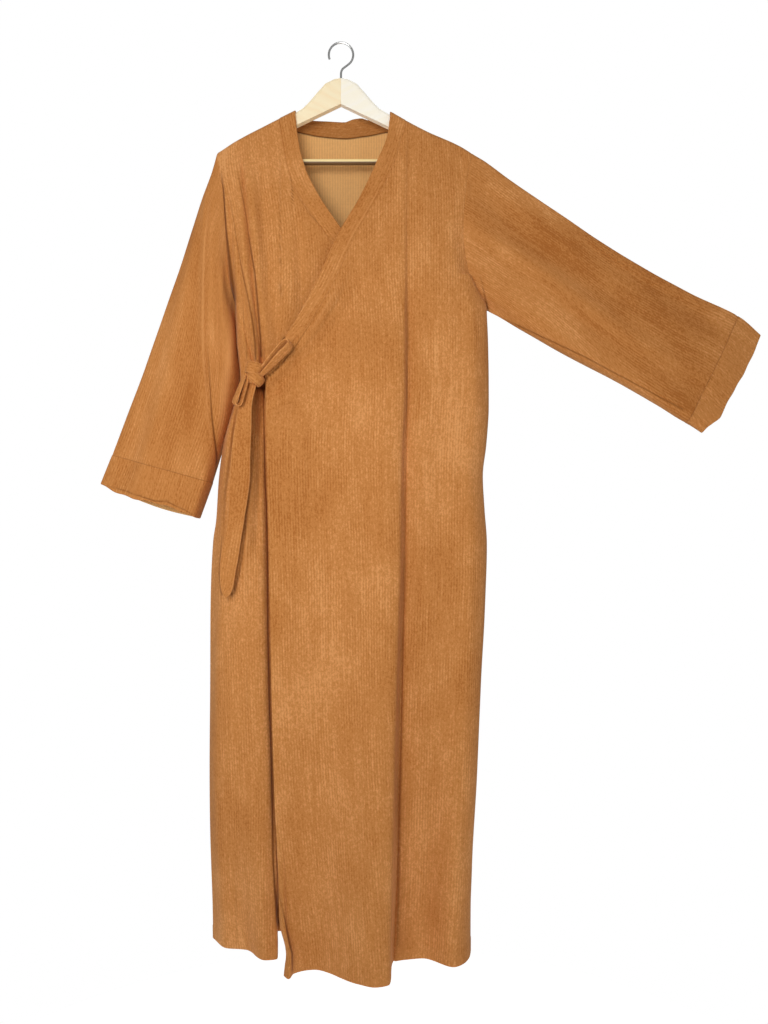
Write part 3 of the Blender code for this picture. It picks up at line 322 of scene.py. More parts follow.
# Sections across the left front, from its front edge to the side. It starts at z_in and edge, and curl is
# how far that edge turns back. Dip is a soft hollow, rise to brow the long pleat with its crease, flat and
# ridge the side.
OVER_FRONT = table(
    "drop z_in x_edge y_edge curl x_dip y_dip x_rise y_rise x_crest y_crest"
    " x_brow y_brow x_crease y_crease y_flat y_ridge",
    (0.1970, -0.1414, 0.1095, -0.0092, 0, 0.1100, -0.0092, 0.1105, -0.0093, 0.1115, -0.0094,
     0.1125, -0.0096, 0.1142, -0.0090, -0.0094, -0.0093),
    (0.2550, -0.2260, 0.0832, -0.0200, 0, 0.0910, -0.0200, 0.0980, -0.0212, 0.1050, -0.0230,
     0.1095, -0.0222, 0.1126, -0.0205, -0.0210, -0.0200),
    (0.3350, -0.3439, 0.0221, -0.0380, 0, 0.0550, -0.0345, 0.0780, -0.0345, 0.1000, -0.0360,
     0.1070, -0.0350, 0.1124, -0.0315, -0.0340, -0.0310),
    (0.4050, -0.4245, -0.0130, -0.0480, 0, 0.0350, -0.0412, 0.0680, -0.0416, 0.0970, -0.0440,
     0.1060, -0.0428, 0.1124, -0.0370, -0.0410, -0.0380),
    (0.4525, -0.4871, -0.0495, -0.0560, 0, 0.0150, -0.0462, 0.0600, -0.0465, 0.0950, -0.0490,
     0.1055, -0.0475, 0.1124, -0.0370, -0.0450, -0.0430),
    (0.5750, -0.5789, -0.1190, -0.0660, 0, -0.0150, -0.0502, 0.0500, -0.0530, 0.0910, -0.0570,
     0.1045, -0.0545, 0.1128, -0.0410, -0.0480, -0.0460),
    (0.7200, -0.7200, -0.1180, -0.0590, 0, -0.0250, -0.0502, 0.0400, -0.0545, 0.0830, -0.0600,
     0.0985, -0.0570, 0.1075, -0.0400, -0.0460, -0.0440),
    (0.8600, -0.8600, -0.1150, -0.0550, 0, -0.0300, -0.0492, 0.0350, -0.0550, 0.0800, -0.0620,
     0.0975, -0.0590, 0.1071, -0.0370, -0.0430, -0.0440),
    (1.0500, -1.0500, -0.1122, -0.0520, 0, -0.0350, -0.0470, 0.0300, -0.0570, 0.0740, -0.0670,
     0.0920, -0.0620, 0.1018, -0.0330, -0.0370, -0.0420),
    (1.2500, -1.2500, -0.1073, -0.0500, 0, -0.0400, -0.0450, 0.0280, -0.0640, 0.0680, -0.0750,
     0.0870, -0.0690, 0.0965, -0.0280, -0.0290, -0.0400),
    (1.3900, -1.3900, -0.1010, -0.0500, 0.0030, -0.0420, -0.0425, 0.0280, -0.0720, 0.0640, -0.0830,
     0.0840, -0.0760, 0.0935, -0.0240, -0.0190, -0.0390),
    (1.4700, -1.4700, -0.0980, -0.0500, 0.0090, -0.0430, -0.0405, 0.0290, -0.0780, 0.0620, -0.0880,
     0.0820, -0.0800, 0.0905, -0.0200, -0.0130, -0.0380),
    (1.5200, -1.5200, -0.0872, -0.0530, 0.0120, -0.0430, -0.0393, 0.0296, -0.0810, 0.0602, -0.0910,
     0.0808, -0.0843, 0.0886, -0.0194, -0.0096, -0.0371),
    (1.5500, -1.5540, -0.0900, -0.0560, 0.0130, -0.0430, -0.0385, 0.0300, -0.0830, 0.0590, -0.0930,
     0.0800, -0.0870, 0.0875, -0.0190, -0.0075, -0.0365),
)

# Sections across the right front, from the side to its inner edge. Flank and ridge are the soft fold that
# shows, crest the fold beside the overlap, and back the stretch that turns away behind it.
UNDER_FRONT = table(
    "drop z_in x_in y_in x_flank y_flank x_ridge y_ridge x_crest y_crest x_back y_back",
    (0.1970, -0.1382, -0.1037, -0.0092, -0.1950, -0.0092, -0.1800, -0.0092,
     -0.1480, -0.0093, -0.1250, -0.0092),
    (0.2550, -0.2303, -0.0847, -0.0180, -0.1870, -0.0190, -0.1720, -0.0200,
     -0.1380, -0.0210, -0.1110, -0.0200),
    (0.3350, -0.3184, -0.0341, -0.0280, -0.1820, -0.0260, -0.1680, -0.0280,
     -0.1250, -0.0330, -0.0800, -0.0310),
    (0.4050, -0.3850, 0.0180, -0.0280, -0.1790, -0.0300, -0.1660, -0.0340,
     -0.1200, -0.0420, -0.0500, -0.0340),
    (0.4525, -0.4400, 0.0650, -0.0260, -0.1740, -0.0300, -0.1640, -0.0360,
     -0.1200, -0.0470, -0.0300, -0.0350),
    (0.5750, -0.5600, 0.1500, -0.0200, -0.1640, -0.0300, -0.1560, -0.0380,
     -0.1230, -0.0500, 0.0, -0.0350),
    (0.6800, -0.6800, 0.1500, -0.0170, -0.1860, -0.0300, -0.1640, -0.0400,
     -0.1225, -0.0480, 0.0, -0.0300),
    (0.8600, -0.8600, 0.1450, -0.0080, -0.1900, -0.0320, -0.1545, -0.0440,
     -0.1185, -0.0440, -0.0200, -0.0220),
    (1.0500, -1.0500, 0.1250, 0.0130, -0.2000, -0.0270, -0.1650, -0.0390,
     -0.1160, -0.0410, -0.0450, -0.0040),
    (1.2500, -1.2500, 0.0950, 0.0430, -0.2080, -0.0130, -0.1766, -0.0280,
     -0.1105, -0.0360, -0.0900, 0.0300),
    (1.3700, -1.3700, 0.0700, 0.0680, -0.2060, 0.0010, -0.1755, -0.0120,
     -0.1080, -0.0300, -0.1100, 0.0580),
    (1.4700, -1.4700, 0.0500, 0.0775, -0.2020, 0.0130, -0.1720, 0.0040,
     -0.1067, -0.0230, -0.1170, 0.0760),
    (1.5500, -1.5500, 0.0300, 0.0865, -0.1980, 0.0250, -0.1640, 0.0195,
     -0.1080, -0.0155, -0.1210, 0.0860),
)


# Depth of the back at four places across, shares of its width from the wearer's right side.
BACK_SHARES = (0.14, 0.38, 0.62, 0.86)
BACK = table(
    "drop y_1 y_2 y_3 y_4",
    (0.1970, 0.0092, 0.0300, 0.0300, 0.0092),
    (0.2550, 0.0200, 0.0330, 0.0320, 0.0200),
    (0.3350, 0.0280, 0.0380, 0.0360, 0.0280),
    (0.4525, 0.0340, 0.0450, 0.0420, 0.0360),
    (0.5750, 0.0380, 0.0520, 0.0460, 0.0400),
    (0.8600, 0.0460, 0.0660, 0.0540, 0.0440),
    (1.1000, 0.0640, 0.0840, 0.0660, 0.0560),
    (1.3500, 0.0860, 0.1020, 0.0800, 0.0720),
    (1.5500, 0.1040, 0.1160, 0.0880, 0.0800),
)

# The back neck, from the wearer's right shoulder to the left: the seam with the back and the band's top edge.
BACK_NECK = table(
    "share x_seam y_seam z_seam x_top y_top z_top",
    (0.000, -0.1037, 0.0092, -0.1382, -0.0765, 0.0092, -0.1247),
    (0.125, -0.0900, 0.0190, -0.1388, -0.0690, 0.0200, -0.1205),
    (0.250, -0.0766, 0.0260, -0.1395, -0.0560, 0.0270, -0.1180),
    (0.375, -0.0400, 0.0300, -0.1455, -0.0300, 0.0310, -0.1180),
    (0.500, 0.0070, 0.0310, -0.1490, 0.0070, 0.0320, -0.1193),
    (0.625, 0.0450, 0.0300, -0.1450, 0.0400, 0.0310, -0.1165),
    (0.750, 0.0795, 0.0260, -0.1395, 0.0620, 0.0270, -0.1165),
    (0.875, 0.0950, 0.0190, -0.1405, 0.0755, 0.0200, -0.1215),
    (1.000, 0.1095, 0.0092, -0.1414, 0.0833, 0.0092, -0.1267),
)

# The free edges of the two front bands, at the drops of their seams.
OVER_BAND = table(
    "drop x z",
    (0.1970, 0.0833, -0.1267),
    (0.2220, 0.0790, -0.1600),
    (0.2550, 0.0590, -0.2120),
    (0.2900, 0.0300, -0.2750),
    (0.3350, -0.0020, -0.3330),
    (0.3950, -0.0330, -0.4050),
    (0.4525, -0.0690, -0.4780),
    (0.5300, -0.0990, -0.5260),
    (0.5750, -0.1230, -0.5600),
)
UNDER_BAND = table(
    "drop x z",
    (0.1970, -0.0765, -0.1247),
    (0.2220, -0.0710, -0.1700),
    (0.2550, -0.0600, -0.2150),
    (0.2900, -0.0370, -0.2640),
    (0.3350, -0.0120, -0.3030),
    (0.3950, 0.0310, -0.3600),
    (0.4525, 0.0840, -0.4220),
    (0.5750, 0.1690, -0.5450),
)

# Sleeves, at shares s of their length: top fold, underarm fold, where the front is fullest (share from the
# top), how far the lowest part is drawn back to the body, depths and the back's sag.
SLEEVE_LEFT = table(
    "s x_top z_top x_low y_low z_low crest drawn front back sag",
    (0.00, 0.2205, -0.1878, 0.2460, 0.0, -0.4525, 0.60, 0.0, 0.0220, 0.0220, 0.0),
    (0.06, 0.2400, -0.1989, 0.2620, 0.0, -0.4603, 0.64, 0.0, 0.0220, 0.0210, 0.0),
    (0.15, 0.2856, -0.2326, 0.3060, 0.004, -0.4850, 0.74, 0.0, 0.0220, 0.0200, 0.0),
    (0.35, 0.3876, -0.3004, 0.3850, 0.006, -0.5290, 0.84, 0.0, 0.0230, 0.0180, 0.0),
    (0.55, 0.4913, -0.3685, 0.4640, 0.008, -0.5697, 0.86, 0.0, 0.0220, 0.0160, 0.0),
    (0.75, 0.5930, -0.4250, 0.5400, 0.006, -0.6136, 0.86, 0.0, 0.0200, 0.0140, 0.0),
    (0.90, 0.6740, -0.4640, 0.5870, 0.004, -0.6430, 0.84, 0.0, 0.0160, 0.0120, 0.0),
    (1.00, 0.7125, -0.4970, 0.6290, 0.0, -0.6610, 0.70, 0.0150, 0.0120, 0.0100, 0.002),
)
SLEEVE_RIGHT = table(
    "s x_top z_top x_low y_low z_low crest drawn front back sag",
    (0.00, -0.2085, -0.1878, -0.1800, 0.0, -0.4525, 0.60, 0.0, 0.0180, 0.0180, 0.0),
    (0.06, -0.2173, -0.2170, -0.1815, 0.004, -0.4700, 0.62, 0.0, 0.0230, 0.0190, 0.0),
    (0.15, -0.2351, -0.2650, -0.1785, 0.008, -0.5000, 0.64, 0.0, 0.0310, 0.0200, 0.0),
    (0.35, -0.2795, -0.4016, -0.1720, 0.014, -0.5650, 0.66, 0.0, 0.0370, 0.0220, 0.0),
    (0.55, -0.3202, -0.5180, -0.1850, 0.016, -0.6250, 0.70, 0.0, 0.0380, 0.0250, 0.0),
    (0.75, -0.3598, -0.6260, -0.2030, 0.014, -0.6850, 0.78, 0.0, 0.0370, 0.0270, 0.002),
    (0.90, -0.3875, -0.6991, -0.2205, 0.010, -0.7450, 0.86, 0.0, 0.0330, 0.0260, 0.005),
    (1.00, -0.4075, -0.7490, -0.2425, 0.008, -0.8070, 0.90, 0.0, 0.0300, 0.0240, 0.008),
)

RIGHT_FRONT_FOLDS = fold_lines(
    (-0.1880, -0.2600, -0.1740, -0.4700, 0, 0.0035, 0.0045, -0.0030, -0.0100),
    (-0.1900, -0.2450, -0.1480, -0.5450, 0.006, 0.0080, 0.0055, 0.0040, 0.0060),
    (-0.1800, -0.3150, -0.1418, -0.5500, 0.009, 0.0040, 0.0040, -0.0035, -0.0060),
    (-0.1690, -0.2600, -0.1340, -0.5450, 0.004, 0.0065, 0.0050, 0.0040, 0.0060),
    (-0.1633, -0.2350, -0.1290, -0.5510, 0, 0.0036, 0.0040, -0.0030, -0.0060),
    (-0.1500, -0.2500, -0.1180, -0.5300, 0, 0.0090, 0.0080, 0.0040, 0.0050),
    (-0.1300, -0.2500, -0.1240, -0.4600, 0, 0.0090, 0.0090, -0.0030, -0.0030),
    (-0.1200, -0.3000, -0.1080, -0.5000, 0, 0.0140, 0.0100, -0.0030, -0.0040),
    (-0.0690, -0.3300, -0.0660, -0.4500, 0, 0.0060, 0.0070, -0.0034, -0.0030),
    (-0.1530, -0.6200, -0.1730, -0.9000, 0, 0.0200, 0.0220, 0.0080, 0.0070),
    (-0.1680, -0.6100, -0.1880, -0.8300, 0, 0.0055, 0.0080, -0.0080, -0.0050),
    (-0.1290, -0.5800, -0.1300, -0.6600, 0, 0.0080, 0.0075, -0.0150, -0.0060),
    (-0.1310, -0.6500, -0.1360, -0.8400, 0, 0.0065, 0.0070, -0.0070, -0.0030),
    (-0.1419, -0.7254, -0.1526, -0.8388, 0, 0.0080, 0.0080, 0.0040, 0.0040),
    (-0.1240, -0.6000, -0.1105, -1.2500, 0, 0.0050, 0.0050, -0.0090, -0.0090),
)
LEFT_FRONT_FOLDS = fold_lines(
    (-0.1000, -0.5900, 0.0300, -0.4400, -0.006, 0.0090, 0.0180, -0.0060, -0.0050),
    (-0.0950, -0.6150, 0.0600, -0.5000, -0.008, 0.0120, 0.0240, 0.0045, 0.0040),
    (-0.0900, -0.6400, 0.0300, -0.5750, -0.006, 0.0100, 0.0200, -0.0040, -0.0020),
    (0.1650, -0.5600, 0.1600, -0.8600, 0, 0.0200, 0.0240, -0.0040, -0.0030),
)
BACK_FOLDS = fold_lines(
    (-0.1100, -0.4000, -0.1350, -1.6000, 0.006, 0.0150, 0.0320, 0.0050, 0.0090),
    (-0.0700, -0.5200, -0.0850, -1.6000, 0, 0.0130, 0.0280, -0.0060, -0.0100),
    (-0.0250, -0.4500, -0.0200, -1.6000, -0.005, 0.0140, 0.0300, 0.0050, 0.0070),
    (0.0350, -0.3600, 0.0620, -1.6000, 0.004, 0.0120, 0.0280, -0.0060, -0.0060),
    (0.0900, -0.4800, 0.1250, -1.6000, 0, 0.0150, 0.0320, 0.0050, 0.0100),
    (0.1350, -0.5600, 0.1750, -1.6000, 0, 0.0110, 0.0240, -0.0050, -0.0090),
    (0.1350, -0.3300, 0.0200, -0.5200, 0.008, 0.0080, 0.0160, -0.0040, -0.0030),
    (-0.1350, -0.3300, -0.0500, -0.5000, -0.006, 0.0080, 0.0140, -0.0040, -0.0030),
)
SLEEVE_LEFT_FOLDS = fold_lines(
    (0.2500, -0.2700, 0.4600, -0.4300, 0.010, 0.0200, 0.0300, -0.0040, -0.0060),
    (0.2700, -0.3500, 0.5200, -0.5300, -0.008, 0.0160, 0.0240, 0.0040, 0.0050),
    (0.4400, -0.3600, 0.6200, -0.4700, 0, 0.0200, 0.0240, -0.0030, -0.0050),
    (0.4000, -0.4700, 0.6000, -0.5900, 0, 0.0140, 0.0200, -0.0030, -0.0040),
)
SLEEVE_RIGHT_FOLDS = fold_lines(
    (-0.2270, -0.2900, -0.2290, -0.5600, 0, 0.0060, 0.0070, 0.0040, 0.0045),
    (-0.2400, -0.3200, -0.3300, -0.7300, 0, 0.0140, 0.0200, 0.0040, 0.0060),
    (-0.2900, -0.5200, -0.3550, -0.7200, 0, 0.0180, 0.0220, -0.0030, -0.0050),
)

# Crisp creases and ridges, placed on the photo. Each point is a photo column, a photo row, how dark the
# painted shade in the crease lies (a ridge's painted highlight counts below 0) and its half width on
# the cloth. The darkest lines paint the shade in gaps and holes, such as under the knot and within a loop,
# and the broad ridge on the right sleeve paints light onto its shaded flank.
CREASE_LINES = {
    "right_front": [
        [(221.5, 172, 0.3, 0.0015), (223.6, 190, 0.8, 0.0019), (224.4, 205, 0.85, 0.0022),
         (226.2, 230, 0.85, 0.0022), (228.4, 250, 0.9, 0.0026), (230.8, 270, 0.9, 0.0034),
         (232.3, 284, 0.9, 0.0052), (233.4, 298, 0.9, 0.0060), (234, 308, 0.9, 0.0044),
         (234.2, 318, 0.85, 0.0022), (235, 330, 0.8, 0.0015), (236.2, 343, 0.7, 0.0014),
         (238.8, 357, 0.5, 0.0014)],
        [(230.5, 196, 0.2, 0.0014), (236.5, 238, 0.45, 0.0014), (242.5, 270, 0.55, 0.0014),
         (248.7, 300, 0.65, 0.0014), (252.5, 322, 0.75, 0.0015), (255, 342, 0.8, 0.0016),
         (256, 358, 0.8, 0.0016)],
        [(236, 164, 0.1, 0.0014), (240, 185, 0.35, 0.0014), (244.7, 209, 0.5, 0.0014),
         (250, 240, 0.7, 0.0014), (255, 272, 0.75, 0.0015), (258, 305, 0.75, 0.0017),
         (260.3, 335, 0.8, 0.0022), (261.3, 357, 0.85, 0.0024)],
        [(236, 238, 0.1, 0.0013), (241, 272, 0.25, 0.0013), (244.5, 325, 0.35, 0.0013),
         (247.5, 358, 0.45, 0.0013)],
        [(232, 215, -0.1, 0.0016), (240, 255, -0.35, 0.0018), (247, 280, -0.35, 0.0018),
         (252.5, 305, -0.4, 0.0018), (256, 330, -0.4, 0.0016), (258.2, 355, -0.3, 0.0014)],
        [(243, 330, -0.2, 0.0014), (247.6, 330, -0.25, 0.0013), (251, 357, -0.25, 0.0013)],
        [(280, 148, 0.2, 0.0018), (280, 215, 0.42, 0.0018), (280.7, 300, 0.42, 0.0018),
         (281, 334, 0.3, 0.0018)],
        [(266, 230, 0.1, 0.0022), (266.5, 262, 0.28, 0.0030), (268, 300, 0.1, 0.0022)],
        [(298, 262, 0.1, 0.0030), (299, 285, 0.3, 0.0040), (297, 310, 0.1, 0.0030)],
        [(285.5, 205, -0.1, 0.0020), (287.5, 250, -0.35, 0.0026), (287, 305, -0.1, 0.0020)],
        [(289, 177, 0.1, 0.0012), (295, 192, 0.4, 0.0012), (309, 213.5, 0.4, 0.0013),
         (324, 229.5, 0.4, 0.0013), (334, 239.5, 0.3, 0.0012)],
        [(290.6, 174, 0.35, 0.0012), (292, 190, 0.7, 0.0013), (292.5, 200, 0.6, 0.0013),
         (291.5, 210, 0.1, 0.0012)],
        [(263.4, 386, 0.9, 0.0015), (264, 420, 0.8, 0.0014), (264.8, 480, 0.8, 0.0014),
         (266.4, 504, 0.85, 0.0015), (267.2, 560, 0.8, 0.0015), (267.8, 620, 0.75, 0.0015),
         (269.5, 700, 0.7, 0.0015), (271, 760, 0.7, 0.0015), (273, 860, 0.8, 0.0016),
         (275, 890, 0.9, 0.0022), (276.8, 908, 1, 0.0032), (278.4, 924, 1, 0.0038)],
        [(237.5, 405, 0.4, 0.0024), (233, 432, 0.6, 0.0032), (229, 464, 0.6, 0.0034),
         (225.2, 492, 0.55, 0.0032), (224.2, 520, 0.35, 0.0026), (223.4, 545, 0.1, 0.0020)],
        [(255.8, 400, 0.4, 0.0016), (254.5, 446, 0.35, 0.0015), (251, 484, 0.4, 0.0015),
         (246.5, 512, 0.5, 0.0015), (245.6, 530, 0.6, 0.0016), (243, 552, 0.6, 0.0016),
         (238.6, 576, 0.65, 0.0018), (234.4, 591, 0.65, 0.0020), (228, 598, 0.65, 0.0022),
         (221.8, 593, 0.6, 0.0019), (219.6, 575, 0.6, 0.0017), (220.6, 555, 0.5, 0.0016),
         (222.6, 535, 0.35, 0.0016)],
        [(253, 388.6, 1, 0.0036), (264.5, 388, 1, 0.0036)],
        [(258.5, 396, 0.4, 0.0045), (259, 430, 0.25, 0.0045), (260, 474, 0.1, 0.0045)],
        [(281, 343, 1, 0.0026), (284, 338, 1, 0.0026)],
        [(244.8, 618, -0.2, 0.0020), (244.8, 570, -0.6, 0.0020), (246.4, 540, -0.5, 0.0018)],
        [(236.3, 860, 0.1, 0.0020), (236, 900, 0.25, 0.0022), (237, 945, 0.2, 0.0024)],
        [(246.5, 640, 0.1, 0.0014), (247, 690, 0.22, 0.0014), (246, 760, 0.1, 0.0014)],
    ],
    "left_front": [
        [(266, 379, 0.8, 0.0014), (280, 365.5, 0.8, 0.0014), (292, 351.5, 0.65, 0.0014),
         (304, 333.5, 0.45, 0.0013), (318, 312, 0.2, 0.0012)],
        [(271, 384, 0.25, 0.0020), (286, 369, 0.3, 0.0022), (302, 349, 0.25, 0.0024),
         (318, 326, 0.1, 0.0024)],
        [(407, 232, 0.05, 0.0012), (407.3, 280, 0.25, 0.0012), (407, 350, 0.4, 0.0013),
         (406.5, 420, 0.45, 0.0014), (405, 520, 0.45, 0.0015), (403, 640, 0.45, 0.0016),
         (401, 760, 0.45, 0.0018), (399, 860, 0.5, 0.0022), (397.5, 945, 0.45, 0.0024)],
        [(279.5, 894, 0.4, 0.0012), (284.3, 917, 0.7, 0.0014), (288.6, 940, 0.85, 0.0016),
         (292, 954, 0.85, 0.0016), (291.5, 971, 0.7, 0.0014)],
        [(298, 356, 0.1, 0.0030), (319, 329, 0.26, 0.0036), (338, 299, 0.3, 0.0045), (350, 272, 0.1, 0.0040)],
        [(300, 346, -0.1, 0.0024), (318, 320, -0.35, 0.0030), (333, 295, -0.3, 0.0030),
         (344, 272, -0.1, 0.0026)],
        [(480, 285, -0.15, 0.0014), (478.5, 300, -0.3, 0.0015), (479.5, 312, -0.15, 0.0015)],
    ],
    "left_front_band": [
        [(386, 172, -0.15, 0.0012), (375, 197, -0.4, 0.0013), (350, 240, -0.45, 0.0013),
         (330, 280, -0.45, 0.0013), (311, 312, -0.4, 0.0013), (299, 333, -0.2, 0.0012)],
        [(281, 343, 0.9, 0.0024), (284, 338, 0.9, 0.0024)],
    ],
    "sleeve_right": [
        [(206.8, 342, 0.1, 0.0014), (208.9, 365, 0.45, 0.0015), (210.5, 392, 0.6, 0.0016),
         (211.9, 416, 0.75, 0.0017), (214.2, 438, 0.85, 0.0017), (216.4, 456, 0.85, 0.0018),
         (216.2, 470, 0.8, 0.0018)],
        [(216, 182, -0.1, 0.0015), (209, 205, -0.35, 0.0017), (204.7, 240, -0.5, 0.0018),
         (203.3, 280, -0.55, 0.0018), (202.8, 335, -0.55, 0.0018), (203.4, 362, -0.5, 0.0018),
         (206, 392, -0.35, 0.0017), (208.3, 420, -0.35, 0.0016), (211.5, 445, -0.3, 0.0015)],
        [(233, 250, -0.1, 0.0060), (234, 300, -0.4, 0.0080), (230, 350, -0.5, 0.0090),
         (224, 400, -0.5, 0.0090), (219, 440, -0.3, 0.0060)],
    ],
    "cuff_right": [
        [(101.7, 484.5, 0.3, 0.0013), (130, 492.5, 0.6, 0.0014), (155, 501, 0.7, 0.0015),
         (167, 501.5, 0.7, 0.0015), (183, 509, 0.6, 0.0014), (197, 517, 0.3, 0.0013)],
    ],
    "sleeve_left": [
        [(478, 268, 0.1, 0.0012), (481, 280, 0.4, 0.0013), (484, 292, 0.7, 0.0013),
         (486.5, 303, 0.85, 0.0014), (488.3, 311, 0.9, 0.0015)],
        [(498, 315, 0.1, 0.0015), (507, 320, 0.5, 0.0016), (532, 332, 0.75, 0.0014),
         (583.5, 356, 0.75, 0.0013), (634.6, 383.5, 0.7, 0.0013), (682.3, 409, 0.65, 0.0013)],
    ],
}

# The knot, its two loops and the long end.
KNOT_CENTRE = (-0.1362, -0.0745, -0.5725)
# A loop of the bow, from the knot along one strand to its tip and back along the other: distances along and
# aside of its axis, and the strand's half width.
LOOP_STRAND = (
    (-0.0120, 0.0030, 0.0040),
    (0.0000, 0.0034, 0.0052),
    (0.0200, 0.0040, 0.0070),
    (0.0360, 0.0042, 0.0078),
    (0.0480, 0.0050, 0.0076),
    (0.0560, 0.0042, 0.0070),
)
LOOP_TIP = (0.0590, 0.0000, 0.0066)
LOOP_RETURN = tuple((along, -aside, half_width) for along, aside, half_width in LOOP_STRAND[::-1])
LOOP = np.array([*LOOP_STRAND, LOOP_TIP, *LOOP_RETURN])
LONG_LOOP_ROOT = (-0.1189, -0.0800, -0.5664)
LONG_LOOP_WAY = (0.675, 0.0, 0.738)
SHORT_LOOP_ROOT = (-0.1505, -0.0800, -0.5850)
SHORT_LOOP_WAY = (-0.330, 0.0, -0.944)
SHORT_LOOP_SCALE = (0.70, 0.90)
TIE_END = table(
    "x y z half_width",
    (-0.1390, -0.0720, -0.5850, 0.0075),
    (-0.1480, -0.0715, -0.6150, 0.0092),
    (-0.1514, -0.0708, -0.6302, 0.0107),
    (-0.1535, -0.0705, -0.6497, 0.0124),
    (-0.1560, -0.0700, -0.6725, 0.0142),
    (-0.1583, -0.0695, -0.6985, 0.0157),
    (-0.1598, -0.0682, -0.7326, 0.0163),
    (-0.1675, -0.0655, -0.8090, 0.0140),
    (-0.1726, -0.0645, -0.8396, 0.0137),
    (-0.1777, -0.0635, -0.8700, 0.0139),
    (-0.1808, -0.0628, -0.8903, 0.0131),
    (-0.1823, -0.0622, -0.9106, 0.0116),
    (-0.1830, -0.0620, -0.9230, 0.0092),
    (-0.1836, -0.0620, -0.9300, 0.0062),
    (-0.1840, -0.0620, -0.9340, 0.0022),
)

# How much deeper than its section the long crease is pinched.
CREASE_PINCH = table(
    "drop depth",
    (0.1970, 0.0),
    (0.3600, 0.0),
    (0.6500, 0.0026),
    (1.5500, 0.0040),
)


def smooth(knots, values, at):
    """Values read between the knots on a curve that doesn't overshoot them."""
    knots = np.asarray(knots, float)
    values = np.asarray(values, float)
    at = np.clip(np.asarray(at, float), knots[0], knots[-1])
    step = np.diff(knots)
    rise = np.diff(values) / step
    slope = np.empty_like(values)
    slope[0] = rise[0]
    slope[-1] = rise[-1]
    same_way = rise[:-1] * rise[1:] > 0
    both = np.where(same_way, rise[:-1] + rise[1:], 1.0)
    slope[1:-1] = np.where(same_way, 2 * rise[:-1] * rise[1:] / both, 0.0)
    cell = np.clip(np.searchsorted(knots, at, side="right") - 1, 0, len(step) - 1)
    part = (at - knots[cell]) / step[cell]
    early = (1 + 2 * part) * (1 - part) ** 2 * values[cell]
    early = early + part * (1 - part) ** 2 * step[cell] * slope[cell]
    late = part**2 * (3 - 2 * part) * values[cell + 1]
    late = late + part**2 * (part - 1) * step[cell] * slope[cell + 1]
    return early + late


def read(section_table, knot_column, at):
    """Every column of a table, read at one place."""
    knots = section_table[knot_column]
    return {name: float(smooth(knots, column, at)) for name, column in section_table.items()}


def ease(share):
    """0 to 1, flat at both ends."""
    share = np.clip(share, 0.0, 1.0)
    return share * share * (3 - 2 * share)


def shoulder_height(x):
    return smooth(SHOULDER["x"], SHOULDER["z"], x)


def unit(vectors):
    return vectors / np.linalg.norm(vectors, axis=-1, keepdims=True)


def lengths_along(points):
    return np.concatenate([[0.0], np.cumsum(np.linalg.norm(np.diff(points, axis=0), axis=1))])


def through(points, count=420):
    """Points close together along a smooth curve through a few points."""
    points = np.asarray(points, float)
    along = lengths_along(points)
    at = np.linspace(0.0, along[-1], count)
    return np.stack([smooth(along, points[:, axis], at) for axis in range(points.shape[1])], axis=1)


def resample(points, shares, mark, mark_share):
    """Points at the given shares of a curve's length, and the distance of each from the point at the index
    mark, which gets mark_share."""
    along = lengths_along(points)
    at = np.interp(shares, (0.0, mark_share, 1.0), (0.0, along[mark], along[-1]))
    return np.stack([np.interp(at, along, points[:, axis]) for axis in range(3)], axis=1), at - along[mark]


def end_shares(count, length):
    """Even shares of a length, with a few more close to both ends."""
    near = np.array((*NEAR_EDGE, 0.005)) / length
    return np.unique(np.concatenate([np.linspace(0.0, 1.0, count + 1), near, 1 - near]))


def with_folds(points, folds):
    """The points moved forward on each ridge and back in each groove. Beyond each end a fold fades over a
    quarter of its length."""
    points = points.copy()
    for x_1, z_1, x_2, z_2, bow, width_1, width_2, depth_1, depth_2 in zip(*folds.values()):
        run = np.array([x_2 - x_1, z_2 - z_1])
        length = math.hypot(*run)
        run = run / length
        offset_x = points[:, 0] - x_1
        offset_z = points[:, 2] - z_1
        share = (offset_x * run[0] + offset_z * run[1]) / length
        aside = offset_x * run[1] - offset_z * run[0]
        inside = np.clip(share, 0.0, 1.0)
        aside = aside + bow * 4 * inside * (1 - inside) * math.copysign(1.0, run[1])
        width = width_1 + (width_2 - width_1) * inside
        depth = depth_1 + (depth_2 - depth_1) * inside
        fade = ease(1 + 4 * share) * ease(1 + 4 * (1 - share))
        points[:, 1] -= depth * fade * np.exp(-((aside / width) ** 2))
    return points


def side_point(side, drop, face):
    """The side edge of a panel; face is -1 on the front and 1 on the back."""
    here = read(side, "drop", drop)
    return np.array([here["x"], here["y"] + face * max(here["open"], MEET), -drop])


def sloped(points, z_first, z_last):
    """Heights for a section: a straight slope by x between its two ends."""
    share = (points[:, 0] - points[0, 0]) / (points[-1, 0] - points[0, 0])
    return z_first + (z_last - z_first) * np.clip(share, 0.0, 1.0)


def on_shoulder(points, drop):
    """Heights bent to the shoulder line at the yoke, and left alone lower down."""
    yoke = shoulder_height(points[:, 0]) - SHOULDER_ROLL
    share = (points[:, 0] - points[0, 0]) / (points[-1, 0] - points[0, 0])
    straight = yoke[0] + (yoke[-1] - yoke[0]) * share
    fade = ease(1 - (drop - YOKE_DROP) / FRONT_YOKE_BLEND)
    points[:, 2] += (yoke - straight) * fade
    return points


